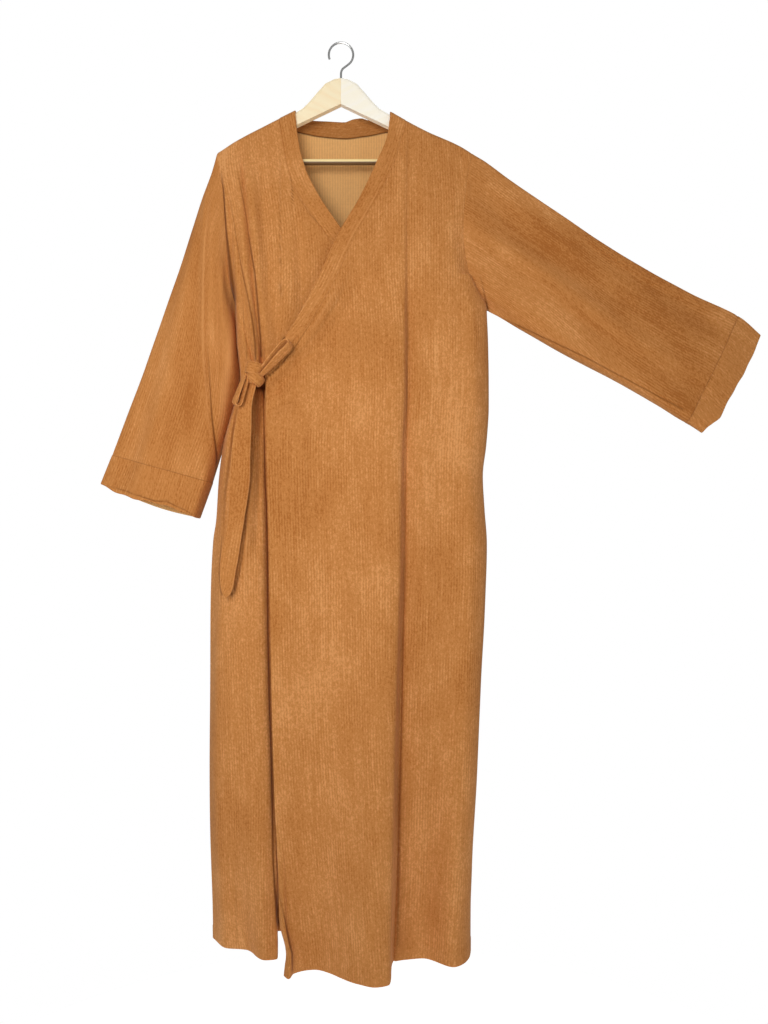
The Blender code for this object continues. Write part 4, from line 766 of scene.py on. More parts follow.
def over_front_section(drop, shares):
    """Points across the left front, and the distance of each from the crease, along the cloth."""
    here = read(OVER_FRONT, "drop", drop)
    side = side_point(LEFT_SIDE, drop, -1)
    width = side[0] - here["x_crease"]
    turn = SIDE_TURN * ease((drop - SIDE_TURN_DROP) / SIDE_TURN_RANGE)
    slope = (here["y_dip"] - here["y_edge"]) / (here["x_dip"] - here["x_edge"])
    controls = [
        (here["x_edge"], here["y_edge"]),
        (here["x_edge"] + CURL_TOP, here["y_edge"] + slope * CURL_TOP - here["curl"]),
        (here["x_edge"] + CURL_END, here["y_edge"] + slope * CURL_END),
        *((here["x_" + name], here["y_" + name]) for name in ("dip", "rise", "crest", "brow", "crease")),
        (here["x_crease"] + FLAT_AT * width, here["y_flat"]),
        (here["x_crease"] + RIDGE_AT * width, here["y_ridge"]),
        (side[0] - turn, SIDE_MIX[0] * here["y_ridge"] + SIDE_MIX[1] * side[1]),
        (side[0], side[1]),
    ]
    if here["curl"] < LEAST_CURL:
        del controls[1:3]
    if drop < SIDE_TURN_DROP:
        del controls[-2]
    flat = through(controls)
    points = np.column_stack([flat, np.zeros(len(flat))])
    points[:, 2] = sloped(points, here["z_in"], -drop)
    points = with_folds(on_shoulder(points, drop), LEFT_FRONT_FOLDS)
    pinch = read(CREASE_PINCH, "drop", drop)["depth"]
    beside = points[:, 0] - here["x_crease"] - PINCH_ASIDE
    points[:, 1] += pinch * np.exp(-((beside / PINCH_HALF_WIDTH) ** 2))
    points[0] = (here["x_edge"], here["y_edge"], here["z_in"])
    points[-1] = side
    mark = int(np.argmin(np.abs(points[:, 0] - here["x_crease"])))
    along = lengths_along(points)
    natural = along[mark] / along[-1]
    lower = ease((drop - UNDERARM_DROP) / CREASE_SHARE_RANGE)
    return resample(points, shares, mark, max(natural + (CREASE_SHARE - natural) * lower, LEAST_SHARE))


def under_front_section(drop, shares):
    """Points across the right front, and the distance of each from the crest, along the cloth."""
    here = read(UNDER_FRONT, "drop", drop)
    side = side_point(RIGHT_SIDE, drop, -1)
    broad = float(ease((drop - CREST_DROP) / CREST_RANGE))
    turned = here["y_crest"] + CREST_TURN * broad
    crest = [(here["x_crest"] - CREST_FLAT * broad, here["y_crest"]), (here["x_crest"], turned)]
    if broad < LEAST_CREST:
        del crest[0]
    controls = [
        (side[0], side[1]),
        *((here["x_" + name], here["y_" + name]) for name in ("flank", "ridge")),
        *crest,
        (here["x_back"], here["y_back"]),
        (here["x_in"], here["y_in"]),
    ]
    flat = through(controls)
    points = np.column_stack([flat, np.zeros(len(flat))])
    points[:, 2] = sloped(points, -drop, here["z_in"])
    points = with_folds(on_shoulder(points, drop), RIGHT_FRONT_FOLDS)
    points[0] = side
    points[-1] = (here["x_in"], here["y_in"], here["z_in"])
    gaps = np.hypot(flat[:, 0] - here["x_crest"], flat[:, 1] - turned)
    return resample(points, shares, int(np.argmin(gaps)), CREST_SHARE)


@cache
def back_neck_points(place):
    """Points along the back neck, at its seam or at the band's top."""
    rows = [read(BACK_NECK, "share", share) for share in np.linspace(0.0, 1.0, NECK_COLUMNS + 1)]
    return np.array([[here[axis + place] for axis in ("x_", "y_", "z_")] for here in rows])


def back_section(drop):
    """A row of the back: shoulder columns at both ends, neck columns between."""
    here = read(BACK, "drop", drop)
    right = side_point(RIGHT_SIDE, drop, 1)
    left = side_point(LEFT_SIDE, drop, 1)
    near = end_shares(SHOULDER_COLUMNS, SHOULDER_LENGTH)[:-2]
    near_shoulder = SHOULDER["x"][0] + (BACK_NECK["x_seam"][0] - SHOULDER["x"][0]) * near
    far_shoulder = SHOULDER["x"][-1] + (BACK_NECK["x_seam"][-1] - SHOULDER["x"][-1]) * near[::-1]
    neck = back_neck_points("seam")
    top_x = np.concatenate([near_shoulder, neck[:, 0], far_shoulder])
    top_y = np.full(len(top_x), SHOULDER_ROLL)
    top_z = shoulder_height(top_x) - SHOULDER_ROLL
    top_y[len(near) : len(near) + len(neck)] = neck[:, 1]
    top_z[len(near) : len(near) + len(neck)] = neck[:, 2]
    share_at_top = (top_x - top_x[0]) / (top_x[-1] - top_x[0])
    # End_shares adds nine to its count: one more even share and eight close to the ends.
    even = end_shares(len(top_x) - 9, BACK_WIDTH)
    even = np.interp(np.linspace(0, 1, len(top_x)), np.linspace(0, 1, len(even)), even)
    lower = ease((drop - YOKE_DROP) / (WAIST_DROP - YOKE_DROP))
    share = share_at_top + (even - share_at_top) * lower
    depths = [right[1], *(here[name] for name in ("y_1", "y_2", "y_3", "y_4")), left[1]]
    points = np.empty((len(top_x), 3))
    points[:, 0] = right[0] + (left[0] - right[0]) * share
    points[:, 1] = smooth((0.0, *BACK_SHARES, 1.0), depths, share)
    near_top = ease(1 - (drop - YOKE_DROP) / BACK_YOKE_BLEND)
    points[:, 1] += (top_y - points[:, 1]) * near_top
    down = min(1.0, (drop - YOKE_DROP) / (WAIST_DROP - YOKE_DROP))
    points[:, 2] = top_z + (-WAIST_DROP - top_z) * down if drop < WAIST_DROP else -drop
    # The back faces the other way, so its ridges move it backward.
    points[:, 1] -= with_folds(points, BACK_FOLDS)[:, 1] - points[:, 1]
    points[0] = right
    points[-1] = left
    return points, points[:, 0]


def rolled(yoke_row, face):
    """The rows that carry a panel up from the yoke and over the arm to the shoulder seam."""
    rows = []
    for angle in ROLL_ANGLES[:-1]:
        turn = math.radians(angle)
        row = yoke_row.copy()
        row[:, 1] = face * max(SHOULDER_ROLL * math.sin(turn), MEET)
        row[:, 2] += SHOULDER_ROLL * math.cos(turn)
        rows.append(row)
    return rows


def panel(section, face):
    """A panel's points, and how far across its cut each of them is."""
    made = [section(drop) for drop in ALL_DROPS]
    rows = rolled(made[0][0], face) + [points for points, _ in made]
    across = [made[0][1]] * (len(ROLL_ANGLES) - 1) + [distance for _, distance in made]
    return np.array(rows), np.array(across)


def rims(grid):
    """The distance of each point from the grid's four edges, along the cloth."""
    over = np.linalg.norm(np.diff(grid, axis=1), axis=2)
    down = np.linalg.norm(np.diff(grid, axis=0), axis=2)
    left = np.concatenate([np.zeros((len(grid), 1)), np.cumsum(over, axis=1)], axis=1)
    top = np.concatenate([np.zeros((1, grid.shape[1])), np.cumsum(down, axis=0)])
    return {"left": left, "right": left[:, -1:] - left, "top": top, "bottom": top[-1:] - top}


def only(distance, rows):
    """The distance where the rows are chosen, and far away elsewhere."""
    chosen = np.zeros(len(distance), bool)
    chosen[rows] = True
    return np.where(chosen[:, None], distance, 1.0)


def wall_directions(grid, outward, closed):
    """The direction of the wall's thickness at each point, square to the surface."""
    if closed:
        ring = np.concatenate([grid[:, -2:-1], grid, grid[:, 1:2]], axis=1)
        along = ring[:, 2:] - ring[:, :-2]
    else:
        along = np.gradient(grid, axis=1)
    directions = unit(np.cross(unit(along), unit(np.gradient(grid, axis=0))))
    outward = grid - grid.mean(axis=1, keepdims=True) if closed else np.asarray(outward, float)
    return directions if np.sum(directions * outward) > 0 else -directions


def square_to(directions, place, crossing):
    """Directions at an edge turned square to the line that crosses its seam, so the two rims are parallel."""
    part = directions[place]
    crossing = unit(np.broadcast_to(np.asarray(crossing, float), part.shape))
    directions[place] = unit(part - np.sum(part * crossing, axis=-1, keepdims=True) * crossing)


def valleys(points, directions, closed):
    """How deep each point lies between its neighbours across the wales: 0 on flat cloth, 1 in a crease."""
    reach = VALLEY_REACH
    if closed:
        wide = np.concatenate([points[:, -reach - 1 : -1], points, points[:, 1 : reach + 1]], axis=1)
    else:
        wide = np.concatenate([points[:, :1]] * reach + [points] + [points[:, -1:]] * reach, axis=1)
    before, after = wide[:, : -2 * reach], wide[:, 2 * reach :]
    fall = np.sum(((before + after) / 2 - points) * directions, axis=2)
    chord = np.linalg.norm(after - before, axis=2) / 2
    return ease((fall / np.maximum(chord, 1e-6) - VALLEY_START) / VALLEY_RANGE)


def creased(points, lines):
    """How deep each point lies in its piece's drawn creases, and how dark their painted shade is. Drawn
    ridges count below 0 and get a painted highlight.
    """
    pixel = (points[..., 1] - EYE[1]) / PHOTO_FOCAL
    shown = np.stack([
        PHOTO_MIDDLE[0] + (points[..., 0] - EYE[0]) / pixel,
        PHOTO_MIDDLE[1] - (points[..., 2] - EYE[2]) / pixel,
    ], axis=-1)
    depth = np.zeros(pixel.shape)
    dark = np.zeros(pixel.shape)
    for line in lines:
        line = np.array(line, float)
        for start, change in zip(line[:-1], np.diff(line, axis=0)):
            run = change[:2]
            part = np.clip((shown - start[:2]) @ run / (run @ run), 0, 1)
            away = pixel * np.linalg.norm(shown - start[:2] - part[..., None] * run, axis=-1)
            half_width = start[3] + part * change[3]
            shade = start[2] + part * change[2]
            shade = shade * np.exp(-((away / half_width) ** 2))
            stronger = np.abs(shade) > np.abs(dark)
            dark = np.where(stronger, shade, dark)
            depth = np.where(stronger, CREASE_DEPTH * half_width * shade, depth)
    return depth, dark


def cloth_mesh():
    """An empty mesh with a cloth piece's layers. Station numbers its points, seam is a point's distance from
    a seam, crease its painted shade in valleys, creases and gaps (painted highlight below 0), and cut is its
    place in the flat cloth."""
    mesh = bmesh.new()
    layers = {"station": mesh.verts.layers.int.new("station")}
    for name in ("seam", "crease"):
        layers[name] = mesh.verts.layers.float.new(name)
    layers["cut"] = mesh.loops.layers.uv.new("cut")
    return mesh, layers


def add_grid(mesh, layers, places, cut, seam, crease):
    """Adds a grid of points with its layers' values to the mesh. It gives back the points in order, and
    each point of the last column with its twin in the first."""
    rows, columns = places.shape[:2]
    old = set(mesh.faces)
    made = bmesh.ops.create_grid(mesh, x_segments=columns - 1, y_segments=rows - 1, size=1.0)["verts"]
    points = zip(made, places.reshape(-1, 3), seam.ravel(), crease.ravel())
    for index, (vertex, place, from_seam, dark) in enumerate(points):
        vertex[layers["station"]] = index
        vertex[layers["seam"]] = min(from_seam, 1.0)
        vertex[layers["crease"]] = dark
        vertex.co = place
    across, along = (values.ravel() for values in cut)
    for face in set(mesh.faces) - old:
        for loop in face.loops:
            place = loop.vert[layers["station"]]
            loop[layers["cut"]].uv = (across[place], along[place])
    return made, {made[row * columns + columns - 1]: made[row * columns] for row in range(rows)}


def cloth(name, grid, wall, outward, materials, cut, seam, edge, seams, crumple, closed=False, gone=(),
          hem=None, lines=()):
    """A wall of cloth on a grid of points. Cut is the (across, along) place in the flat cloth. Seam, edge
    and hem are the distances from what is sewn, from what is folded and from the lower end. Seams lists
    (place, crossing), gone the grid's open cells, crumple its swells and lines its drawn creases and ridges.
    Its valleys and creases get painted shade, its drawn ridges a painted highlight."""
    directions = wall_directions(grid, outward, closed)
    for _ in range(2):
        for place, crossing in seams:
            square_to(directions, place, crossing)
    rounding = np.sqrt(1 - (1 - np.clip(edge / EDGE_ROUND, 0, 1)) ** 2)
    thick = wall * (EDGE_SHARE + (1 - EDGE_SHARE) * rounding)
    if hem is not None:
        thick = thick * (1 + HEM_EXTRA * ease((HEM_DEPTH + HEM_LEAD - hem) / HEM_STEP))
    sink = SEAM_SINK * np.exp(-((seam / SEAM_REACH) ** 2)) - crumple * ease(seam / SWELL_START)
    depth, dark = creased(grid, lines)
    on_front = directions[..., 1] < FRONT_FACING
    sink = sink + depth * on_front
    dark = dark * on_front
    middle = grid - directions * sink[..., None]
    outer = middle + directions * thick[..., None] / 2
    inner = (middle - directions * thick[..., None] / 2).reshape(-1, 3)
    # Painted shade in valleys, and the drawn lines' painted shade or highlight, for the crease layer.
    shaded = VALLEY_SHADE * valleys(middle, directions, closed)
    mesh, layers = cloth_mesh()
    station = layers["station"]
    _, pairs = add_grid(mesh, layers, outer, cut, seam, np.where(dark < 0, dark, np.maximum(shaded, dark)))
    if gone:
        columns = grid.shape[1]
        taken = [face for face in mesh.faces
                 if divmod(min(vertex[station] for vertex in face.verts), columns) in gone]
        bmesh.ops.delete(mesh, geom=taken, context="FACES")
    if closed:
        bmesh.ops.weld_verts(mesh, targetmap=pairs)
    made = bmesh.ops.extrude_face_region(mesh, geom=mesh.faces[:], use_keep_orig=True)
    for item in made["geom"]:
        if isinstance(item, bmesh.types.BMVert):
            item.co = inner[item[station]]
        elif isinstance(item, bmesh.types.BMFace):
            item.material_index = 1
    return finished(name, mesh, materials)


def finished(name, mesh, materials):
    """The mesh as an object in the scene, smooth but for its sharp edges."""
    bmesh.ops.recalc_face_normals(mesh, faces=mesh.faces[:])
    data = bpy.data.meshes.new(name)
    mesh.to_mesh(data)
    mesh.free()
    data.shade_smooth()
    data.set_sharp_from_angle(angle=SHARP_ANGLE)
    for material in materials:
        data.materials.append(material)
    made = bpy.data.objects.new(name, data)
    bpy.context.scene.collection.objects.link(made)
    return made


def stands_for(piece, node, slot):
    """The piece rides on the part and hides the node's solid. Slot is not used."""
    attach(piece, "root")
    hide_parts(node)


def flat_area(grid):
    """The area of the cloth on a grid of points."""
    over = grid[1:, 1:] - grid[:-1, :-1]
    down = grid[1:, :-1] - grid[:-1, 1:]
    return float(np.linalg.norm(np.cross(over, down), axis=2).sum() / 2)


def crumple_map(cut, waves, seed):
    """Small uneven swells in the cloth. Waves are rows of height, width across and length along."""
    across, along = cut
    total = np.zeros(across.shape)
    for index, (height, width, length) in enumerate(waves):
        flat = [
            noise.noise(Vector((u / width, v / length, seed + WAVE_SEED_STEP * index)))
            for u, v in zip(across.ravel(), along.ravel())
        ]
        total += height * np.array(flat).reshape(across.shape)
    return total


def edge_crossings(edge):
    """Lines that cross a seam, square to it as seen from the front and pointing to +X."""
    run = np.gradient(edge, axis=0)
    across = np.stack([-run[:, 2], np.zeros(len(run)), run[:, 0]], axis=1)
    return unit(across)


def armhole_crossings(grid, side):
    """Lines that cross a front's armhole seam, away from the body. Side is its last or first column."""
    underarm = body_rows()[1]
    return edge_crossings(grid[: underarm + 1, side]) * (1 if side else -1)


def band_points(seam, free):
    """A band's points from its seam to its free edge, and the lines that cross the seam."""
    run = unit(np.gradient(seam, axis=0))
    crossing = free - seam
    crossing = unit(crossing - np.sum(crossing * run, axis=1, keepdims=True) * run)
    shares = end_shares(BAND_COLUMNS, BAND_WIDTH)
    start = seam + MEET * crossing
    return start[:, None] + (free - start)[:, None] * shares[None, :, None], crossing


def armhole_edge(side):
    """The whole armhole, from the shoulder seam down its front, then up its back."""
    front = [side_point(side, drop, -1) for drop in ARMHOLE_DROPS]
    top = rolled(np.array(front[:1]), -1)
    half = np.array([row[0] for row in top] + front)
    half[0, 1] = 0.0
    half[-1, 1] = 0.0
    back = half[::-1] * (1, -1, 1)
    return np.concatenate([half, back[1:]]), half


def sleeve_grid(sleeve, side, stations):
    """Rings of points round a sleeve, the first on the armhole."""
    ring, half = armhole_edge(side)
    fall = (half[0, 2] - half[:, 2]) / (half[0, 2] - half[-1, 2])
    share = np.concatenate([fall, fall[::-1][1:]])
    face = np.concatenate([np.full(len(fall), -1.0), np.full(len(fall) - 1, 1.0)])

    def section(s):
        here = read(sleeve, "s", s)
        top = np.array([here["x_top"], 0.0, here["z_top"]])
        low = np.array([here["x_low"], here["y_low"], here["z_low"]])
        points = top + (low - top) * share[:, None]
        crest = np.where(face < 0, here["crest"], 0.5)
        depth = np.where(face < 0, here["front"], here["back"])
        rising = np.sin(np.pi / 2 * np.clip(share / crest, 0, 1)) ** TOP_ROUND
        past = np.clip((share - crest) / (1 - crest), 0, 1)
        falling = np.sqrt(1 - past**LOW_ROUND)
        points[:, 1] += face * depth * np.where(share < crest, rising, falling)
        points[:, 2] -= np.where(face > 0, here["sag"], 0.0) * np.sin(np.pi * share)
        points[:, 0] -= here["drawn"] * ease((share - DRAWN_FROM) / (1 - DRAWN_FROM))
        wavy = np.sin(2 * np.pi * (share - 0.5)) + FINE_WAVE * np.sin(FINE_WAVES * np.pi * share)
        wave = HEM_WAVE * ease((s - CUFF_SEAM) / (1 - CUFF_SEAM)) * wavy
        points[:, 2] += np.where(face < 0, wave, 0.0)
        return points

    start = section(0.0)
    rows = [section(s) + (ring - start) * float(ease(1 - s / ARMHOLE_BLEND)) for s in stations]
    return np.array(rows), ring


class Value:
    """A socket in a node graph that takes part in Python sums."""

    def __init__(self, graph, socket):
        self.graph = graph
        self.socket = socket

    def sum(self, operation, *others):
        return self.graph.node("ShaderNodeMath", {"operation": operation}, dict(enumerate((self, *others))))

    def __add__(self, other):
        return self.sum("ADD", other)

    def __mul__(self, other):
        return self.sum("MULTIPLY", other)

    def __truediv__(self, other):
        return self.sum("DIVIDE", other)

    def __sub__(self, other):
        return self.sum("SUBTRACT", other)

    def __rsub__(self, other):
        return (self * -1.0) + other

    def __abs__(self):
        return self.sum("ABSOLUTE")

    def fraction(self):
        return self.sum("FRACT")

    def floor(self):
        return self.sum("FLOOR")

    def between(self, low, high):
        """0 below low, 1 above high, eased between them."""
        return self.graph.node(
            "ShaderNodeMapRange",
            {"interpolation_type": "SMOOTHSTEP"},
            {"Value": self, "From Min": low, "From Max": high},
        )

    __radd__ = __add__
    __rmul__ = __mul__


class Graph:
    """A material's nodes, made one call each."""

    def __init__(self, name, **surface):
        self.material = bpy.data.materials.new(name)
        self.material.use_nodes = True
        self.tree = self.material.node_tree
        self.shader = self.tree.nodes["Principled BSDF"]
        for socket, value in surface.items():
            self.shader.inputs[socket.replace("_", " ")].default_value = value

    def node(self, kind, settings=None, inputs=None, output=0):
        made = self.tree.nodes.new(kind)
        for name, value in (settings or {}).items():
            setattr(made, name, value)
        for socket, value in (inputs or {}).items():
            self.give(made.inputs[socket], value)
        return Value(self, made.outputs[output])

    def give(self, socket, value):
        if isinstance(value, Value):
            self.tree.links.new(value.socket, socket)
        else:
            socket.default_value = value

    def feed(self, **inputs):
        for socket, value in inputs.items():
            self.give(self.shader.inputs[socket.replace("_", " ")], value)

    def place(self, u, v, w=0.0):
        return self.node("ShaderNodeCombineXYZ", {}, {0: u, 1: v, 2: w})

    def split(self, vector):
        """The three numbers of a vector."""
        first = self.node("ShaderNodeSeparateXYZ", {}, {0: vector})
        return [Value(self, output) for output in first.socket.node.outputs]

    def noise(self, u, v, w=0.0, detail=2.0, roughness=0.5):
        settings = {"Vector": self.place(u, v, w), "Scale": 1.0, "Detail": detail, "Roughness": roughness}
        return self.node("ShaderNodeTexNoise", {}, settings)

    def patterns(self, u, v, seed, rows):
        """A noise by name for each row: how many a metre, the shift of its seed, its detail and roughness."""
        return {
            name: self.noise(u * across, v * along, seed + shift, detail, roughness)
            for name, (across, along, shift, detail, roughness) in rows.items()
        }

    def mix(self, share, first, second):
        return self.node("ShaderNodeMix", {"data_type": "RGBA"}, {0: share, 6: first, 7: second}, output=2)

    def attribute(self, name):
        return self.node("ShaderNodeAttribute", {"attribute_name": name}, output=2)

    def bump(self, height, strength=1.0, distance=1.0):
        return self.node("ShaderNodeBump", {}, {"Height": height, "Strength": strength, "Distance": distance})


def corduroy(name, tones, spacing, seed, mottle, sewn):
    """Wide-wale corduroy, right side out. Tones are the linear colours of the groove, the pile and its lit
    tips. Mottle is how strong its broad patches are, and sewn how dark its seams lie, from pressed pile and
    painted shade in the seam's ditch. The crease layer paints shade into creases and highlight onto ridges."""
    graph = Graph(name, Roughness=0.92, Sheen_Weight=0.12, Sheen_Roughness=0.5, Specular_IOR_Level=0.10)
    graph.shader.inputs["Sheen Tint"].default_value = (1.0, 0.80, 0.58, 1.0)
    u, v, _ = graph.split(graph.node("ShaderNodeUVMap", {"uv_map": "cut"}))
    seen = graph.patterns(u, v, seed, PILE_PATTERNS)
    phase = u * (1 / spacing) + (seen["wobble"] - 0.5) * WALE_WOBBLE + seed
    rise = 1 - abs(phase.fraction() * 2 - 1)
    ridge = rise.between(0.0, 0.80)
    own = graph.noise(phase.floor() * 3.71, v * 14, seed, 1.0)
    crushed = seen["crushed"].between(0.36, 0.62)
    seam = 1 - graph.attribute("seam").between(0.0002, 0.0020)
    wale = (ridge - 0.55) * (1 - crushed * 0.75)
    tone = wale * PILE_TONES["wale"] + (own - 0.5) * PILE_TONES["own"]
    lint, speck, patch, broad = (seen[name] - 0.5 for name in ("lint", "speck", "patch", "broad"))
    tone = tone + lint * PILE_TONES["lint"] + speck * PILE_TONES["speck"]
    tone = tone + (patch * PILE_TONES["patch"] + broad * PILE_TONES["broad"]) * mottle + 0.5
    base = graph.mix((tone * 2).between(0.0, 1.0), (*tones[0], 1), (*tones[1], 1))
    base = graph.mix((tone * 2 - 1).between(0.0, 1.0), base, (*tones[2], 1))
    # Darker seams: the pile pressed flat, and painted shade in the seam's ditch.
    base = graph.mix(seam * sewn, base, (*(0.45 * value for value in tones[0]), 1))
    # Painted shade in creases, valleys, gaps and loops; painted highlight on drawn ridges and strap rims.
    base = graph.mix(graph.attribute("crease").between(0.0, 1.0) * 0.88, base, CREASE_SHADE_COLOUR)
    base = graph.mix(graph.attribute("crease").between(0.0, -1.0), base, (*tones[2], 1))
    height = ridge * WALE_HEIGHT * (1 - crushed * 0.6)
    height = height + lint * LINT_HEIGHT + speck * SPECK_HEIGHT
    graph.feed(Base_Color=base, Normal=graph.bump(height - seam * sewn * SEAM_DEPTH, 0.7))
    return graph.material


def wrong_side(name, tones, spacing, seed):
    """The flat woven back of the corduroy: fine threads, with the wales only just showing."""
    graph = Graph(name, Roughness=0.95, Sheen_Weight=0.08, Specular_IOR_Level=0.10)
    u, v, _ = graph.split(graph.node("ShaderNodeUVMap", {"uv_map": "cut"}))
    line = abs((u * (1 / spacing) + seed).fraction() * 2 - 1)
    thread = abs((u * THREADS[0]).fraction() * 2 - 1) * abs((v * THREADS[1]).fraction() * 2 - 1)
    seam = 1 - graph.attribute("seam").between(0.0003, 0.0026)
    tone = (line - 0.5) * THREAD_TONES["line"]
    for name, pattern in graph.patterns(u, v, seed, THREAD_PATTERNS).items():
        tone = tone + (pattern - 0.5) * THREAD_TONES[name]
    tone = tone + 0.5
    base = graph.mix(tone.between(0.0, 1.0), (*tones[0], 1), (*tones[1], 1))
    base = graph.mix(seam * 0.85, base, (*(0.3 * value for value in tones[0]), 1))
    graph.feed(Base_Color=base, Normal=graph.bump(thread * THREAD_HEIGHT + line * THREAD_HEIGHT, 0.6))
    return graph.material


def wood(name, tones, way, seed, under=None):
    """Sanded pale hardwood under a clear coat, its grain along the piece, glowing faintly in its own colour:
    painted light. Way is the grain's slope. Under is the height below which painted shade darkens the
    piece and how far down it does."""
    graph = Graph(name, Roughness=0.42, Coat_Weight=0.15, Coat_Roughness=0.25, Emission_Strength=0.14)
    place = graph.node("ShaderNodeTexCoord", {}, output=3)
    turned = graph.node(
        "ShaderNodeMapping", {}, {"Vector": place, "Rotation": (0.0, math.atan(way), 0.0)},
    )
    x, y, z = graph.split(turned)
    drift = graph.noise(x * 9, z * 30, y * 30 + seed, 2.0)
    rings = abs(((z * 60 + y * 40) + drift * 2.4 + seed).fraction() * 2 - 1).between(0.0, 1.0)
    pores = graph.noise(x * 60, z * 1500, y * 1500, 2.0)
    tone = rings * 0.22 + (pores - 0.5) * 0.45 + (drift - 0.5) * 0.6 + 0.40
    base = graph.mix(tone.between(0.0, 1.0), (*tones[0], 1), (*tones[1], 1))
    # Painted shade on the underside.
    if under is not None:
        height = graph.split(place)[2]
        below = ((under[0] - height) / under[1]).between(0.0, 1.0)
        base = graph.mix(below * 0.95, base, UNDERSIDE_SHADE_COLOUR)
    # The wood glows in its own colour: painted light.
    graph.feed(Base_Color=base, Emission_Color=base)
    graph.feed(Roughness=pores * 0.15 + 0.36, Normal=graph.bump(pores * 0.00003, 0.4))
    return graph.material


def steel(name):
    """Bright drawn wire with fine marks along it."""
    graph = Graph(name, Metallic=1.0, Roughness=0.28)
    place = graph.node("ShaderNodeTexCoord", {}, output=3)
    marks = graph.node("ShaderNodeTexNoise", {}, {"Vector": place, "Scale": 900.0, "Detail": 3.0})
    base = graph.mix(marks, (0.50, 0.50, 0.49, 1), (0.74, 0.74, 0.72, 1))
    graph.feed(Base_Color=base, Roughness=marks * 0.2 + 0.2)
    return graph.material


def colour(name, text, default):
    return bpy.props.FloatVectorProperty(
        name=name, description=text, default=default, size=3, min=0.0, max=1.0, subtype="COLOR",
    )


def length(name, text, default):
    return bpy.props.FloatProperty(name=name, description=text, default=default, min=0.0, unit="LENGTH")


def number(name, text, default, unit="NONE"):
    return bpy.props.FloatProperty(name=name, description=text, default=default, unit=unit)


class AbayaCloth(bpy.types.PropertyGroup):
    """The cloth's sizes and colours."""

    wall: length("Cloth", "Thickness of the corduroy", 0.0020)
    band_wall: length("Bands", "Thickness of the bands and cuffs, folded double", 0.0030)
    wale: length("Wale", "Distance from one wale to the next", 0.0045)
    groove: colour("Groove", "Between the wales", (0.420, 0.139, 0.028))
    pile: colour("Pile", "The wales' own colour", (0.565, 0.225, 0.060))
    tip: colour("Tip", "The pile's tips where they catch light", (0.745, 0.338, 0.117))
    # Both inside tones are raised above the wrong side's own colour: painted light for the shaded inside.
    inside_dark: colour("Inside, dark", "The wrong side's shaded threads", (0.70, 0.365, 0.135))
    inside_light: colour("Inside, light", "The wrong side's lit threads", (0.85, 0.475, 0.175))


class AbayaStage(bpy.types.PropertyGroup):
    """The camera, the lights and the floor."""

    distance: length("Distance", "From the camera to the hanger's plane", -EYE[1])
    height: number("Height", "The camera's height", EYE[2], "LENGTH")
    aside: number("Aside", "The camera's place across", EYE[0], "LENGTH")
    lens: number("Lens", "Focal length for a 36 mm long side", 29.99)
    floor: number("Floor", "The floor's height", -2.2, "LENGTH")
    key: number("Key", "The key lamp's power in watts", 6.3)
    fill: number("Fill", "The fill lamp's power in watts", 9.0)
    sky: number("Sky", "The even light all round", 0.30)


def cloth_sizes():
    return bpy.context.scene.abaya_cloth


def corduroys(seed, shade=1.0, mottle=1.0, sewn=0.25):
    """The right and wrong side of one piece of the cloth. A shade below 1 darkens their tones: painted shade.
    """
    sizes = cloth_sizes()
    tones = [tuple(shade * value for value in tone) for tone in (sizes.groove, sizes.pile, sizes.tip)]
    inside = [tuple(shade * value for value in tone) for tone in (sizes.inside_dark, sizes.inside_light)]
    return [
        corduroy(f"corduroy {seed:02d}", tones, sizes.wale, seed * PIECE_SHIFT, mottle, sewn),
        wrong_side(f"corduroy inside {seed:02d}", inside, sizes.wale, seed * PIECE_SHIFT),
    ]


def body_rows():
    """Row numbers of the panels: the yoke, the underarm and the waist."""
    first = len(ROLL_ANGLES) - 1
    return first, first + len(ARMHOLE_DROPS) - 1, first + len(ARMHOLE_DROPS) + len(WAIST_DROPS) - 1


@cache
def over_front_grid():
    near_edge = np.arange(0.004, 0.040, 0.003)
    near_crease = CREASE_SHARE + np.arange(-0.018, 0.0181, 0.002)
    shares = np.unique(np.concatenate([end_shares(OVER_COLUMNS, FRONT_WIDTH), near_edge, near_crease]))
    return panel(lambda drop: over_front_section(drop, shares), -1)


@cache
def under_front_grid():
    shown = np.linspace(0.0, CREST_SHARE, SHOWN_COLUMNS)
    hidden = end_shares(HIDDEN_COLUMNS, FRONT_WIDTH)
    shares = np.unique(np.concatenate([shown, hidden[hidden < 0.02], hidden[hidden > CREST_SHARE + 0.004]]))
    return panel(lambda drop: under_front_section(drop, shares), -1)


@cache
def back_grid():
    return panel(back_section, 1)


def neck_columns(grid):
    """The back's first and last column on the neck seam."""
    first = (grid.shape[1] - NECK_COLUMNS - 1) // 2
    return first, first + NECK_COLUMNS


def front_band_lines(key):
    """The seam of a front band and its free edge."""
    roll, _, waist = body_rows()
    if key == "over":
        seam, free_table = over_front_grid()[0][: waist + 1, 0], OVER_BAND
    else:
        seam, free_table = under_front_grid()[0][: waist + 1, -1], UNDER_BAND
    edge = [read(free_table, "drop", drop) for drop in ALL_DROPS[: waist - roll + 1]]
    lower = np.array([[here["x"], sewn[1], here["z"]] for here, sewn in zip(edge, seam[roll:])])
    return seam, np.concatenate([*rolled(lower[:1], -1), lower])


def hung_sheet(grid):
    """Works out a piece's cloth size, as cut, and its area; the numbers are not kept."""
    reach = rims(grid)
    width = round(float(reach["left"][:, -1].max()), 3)
    height = round(float(reach["top"][-1].max()), 3)
    round(min(flat_area(grid), width * height), 4)


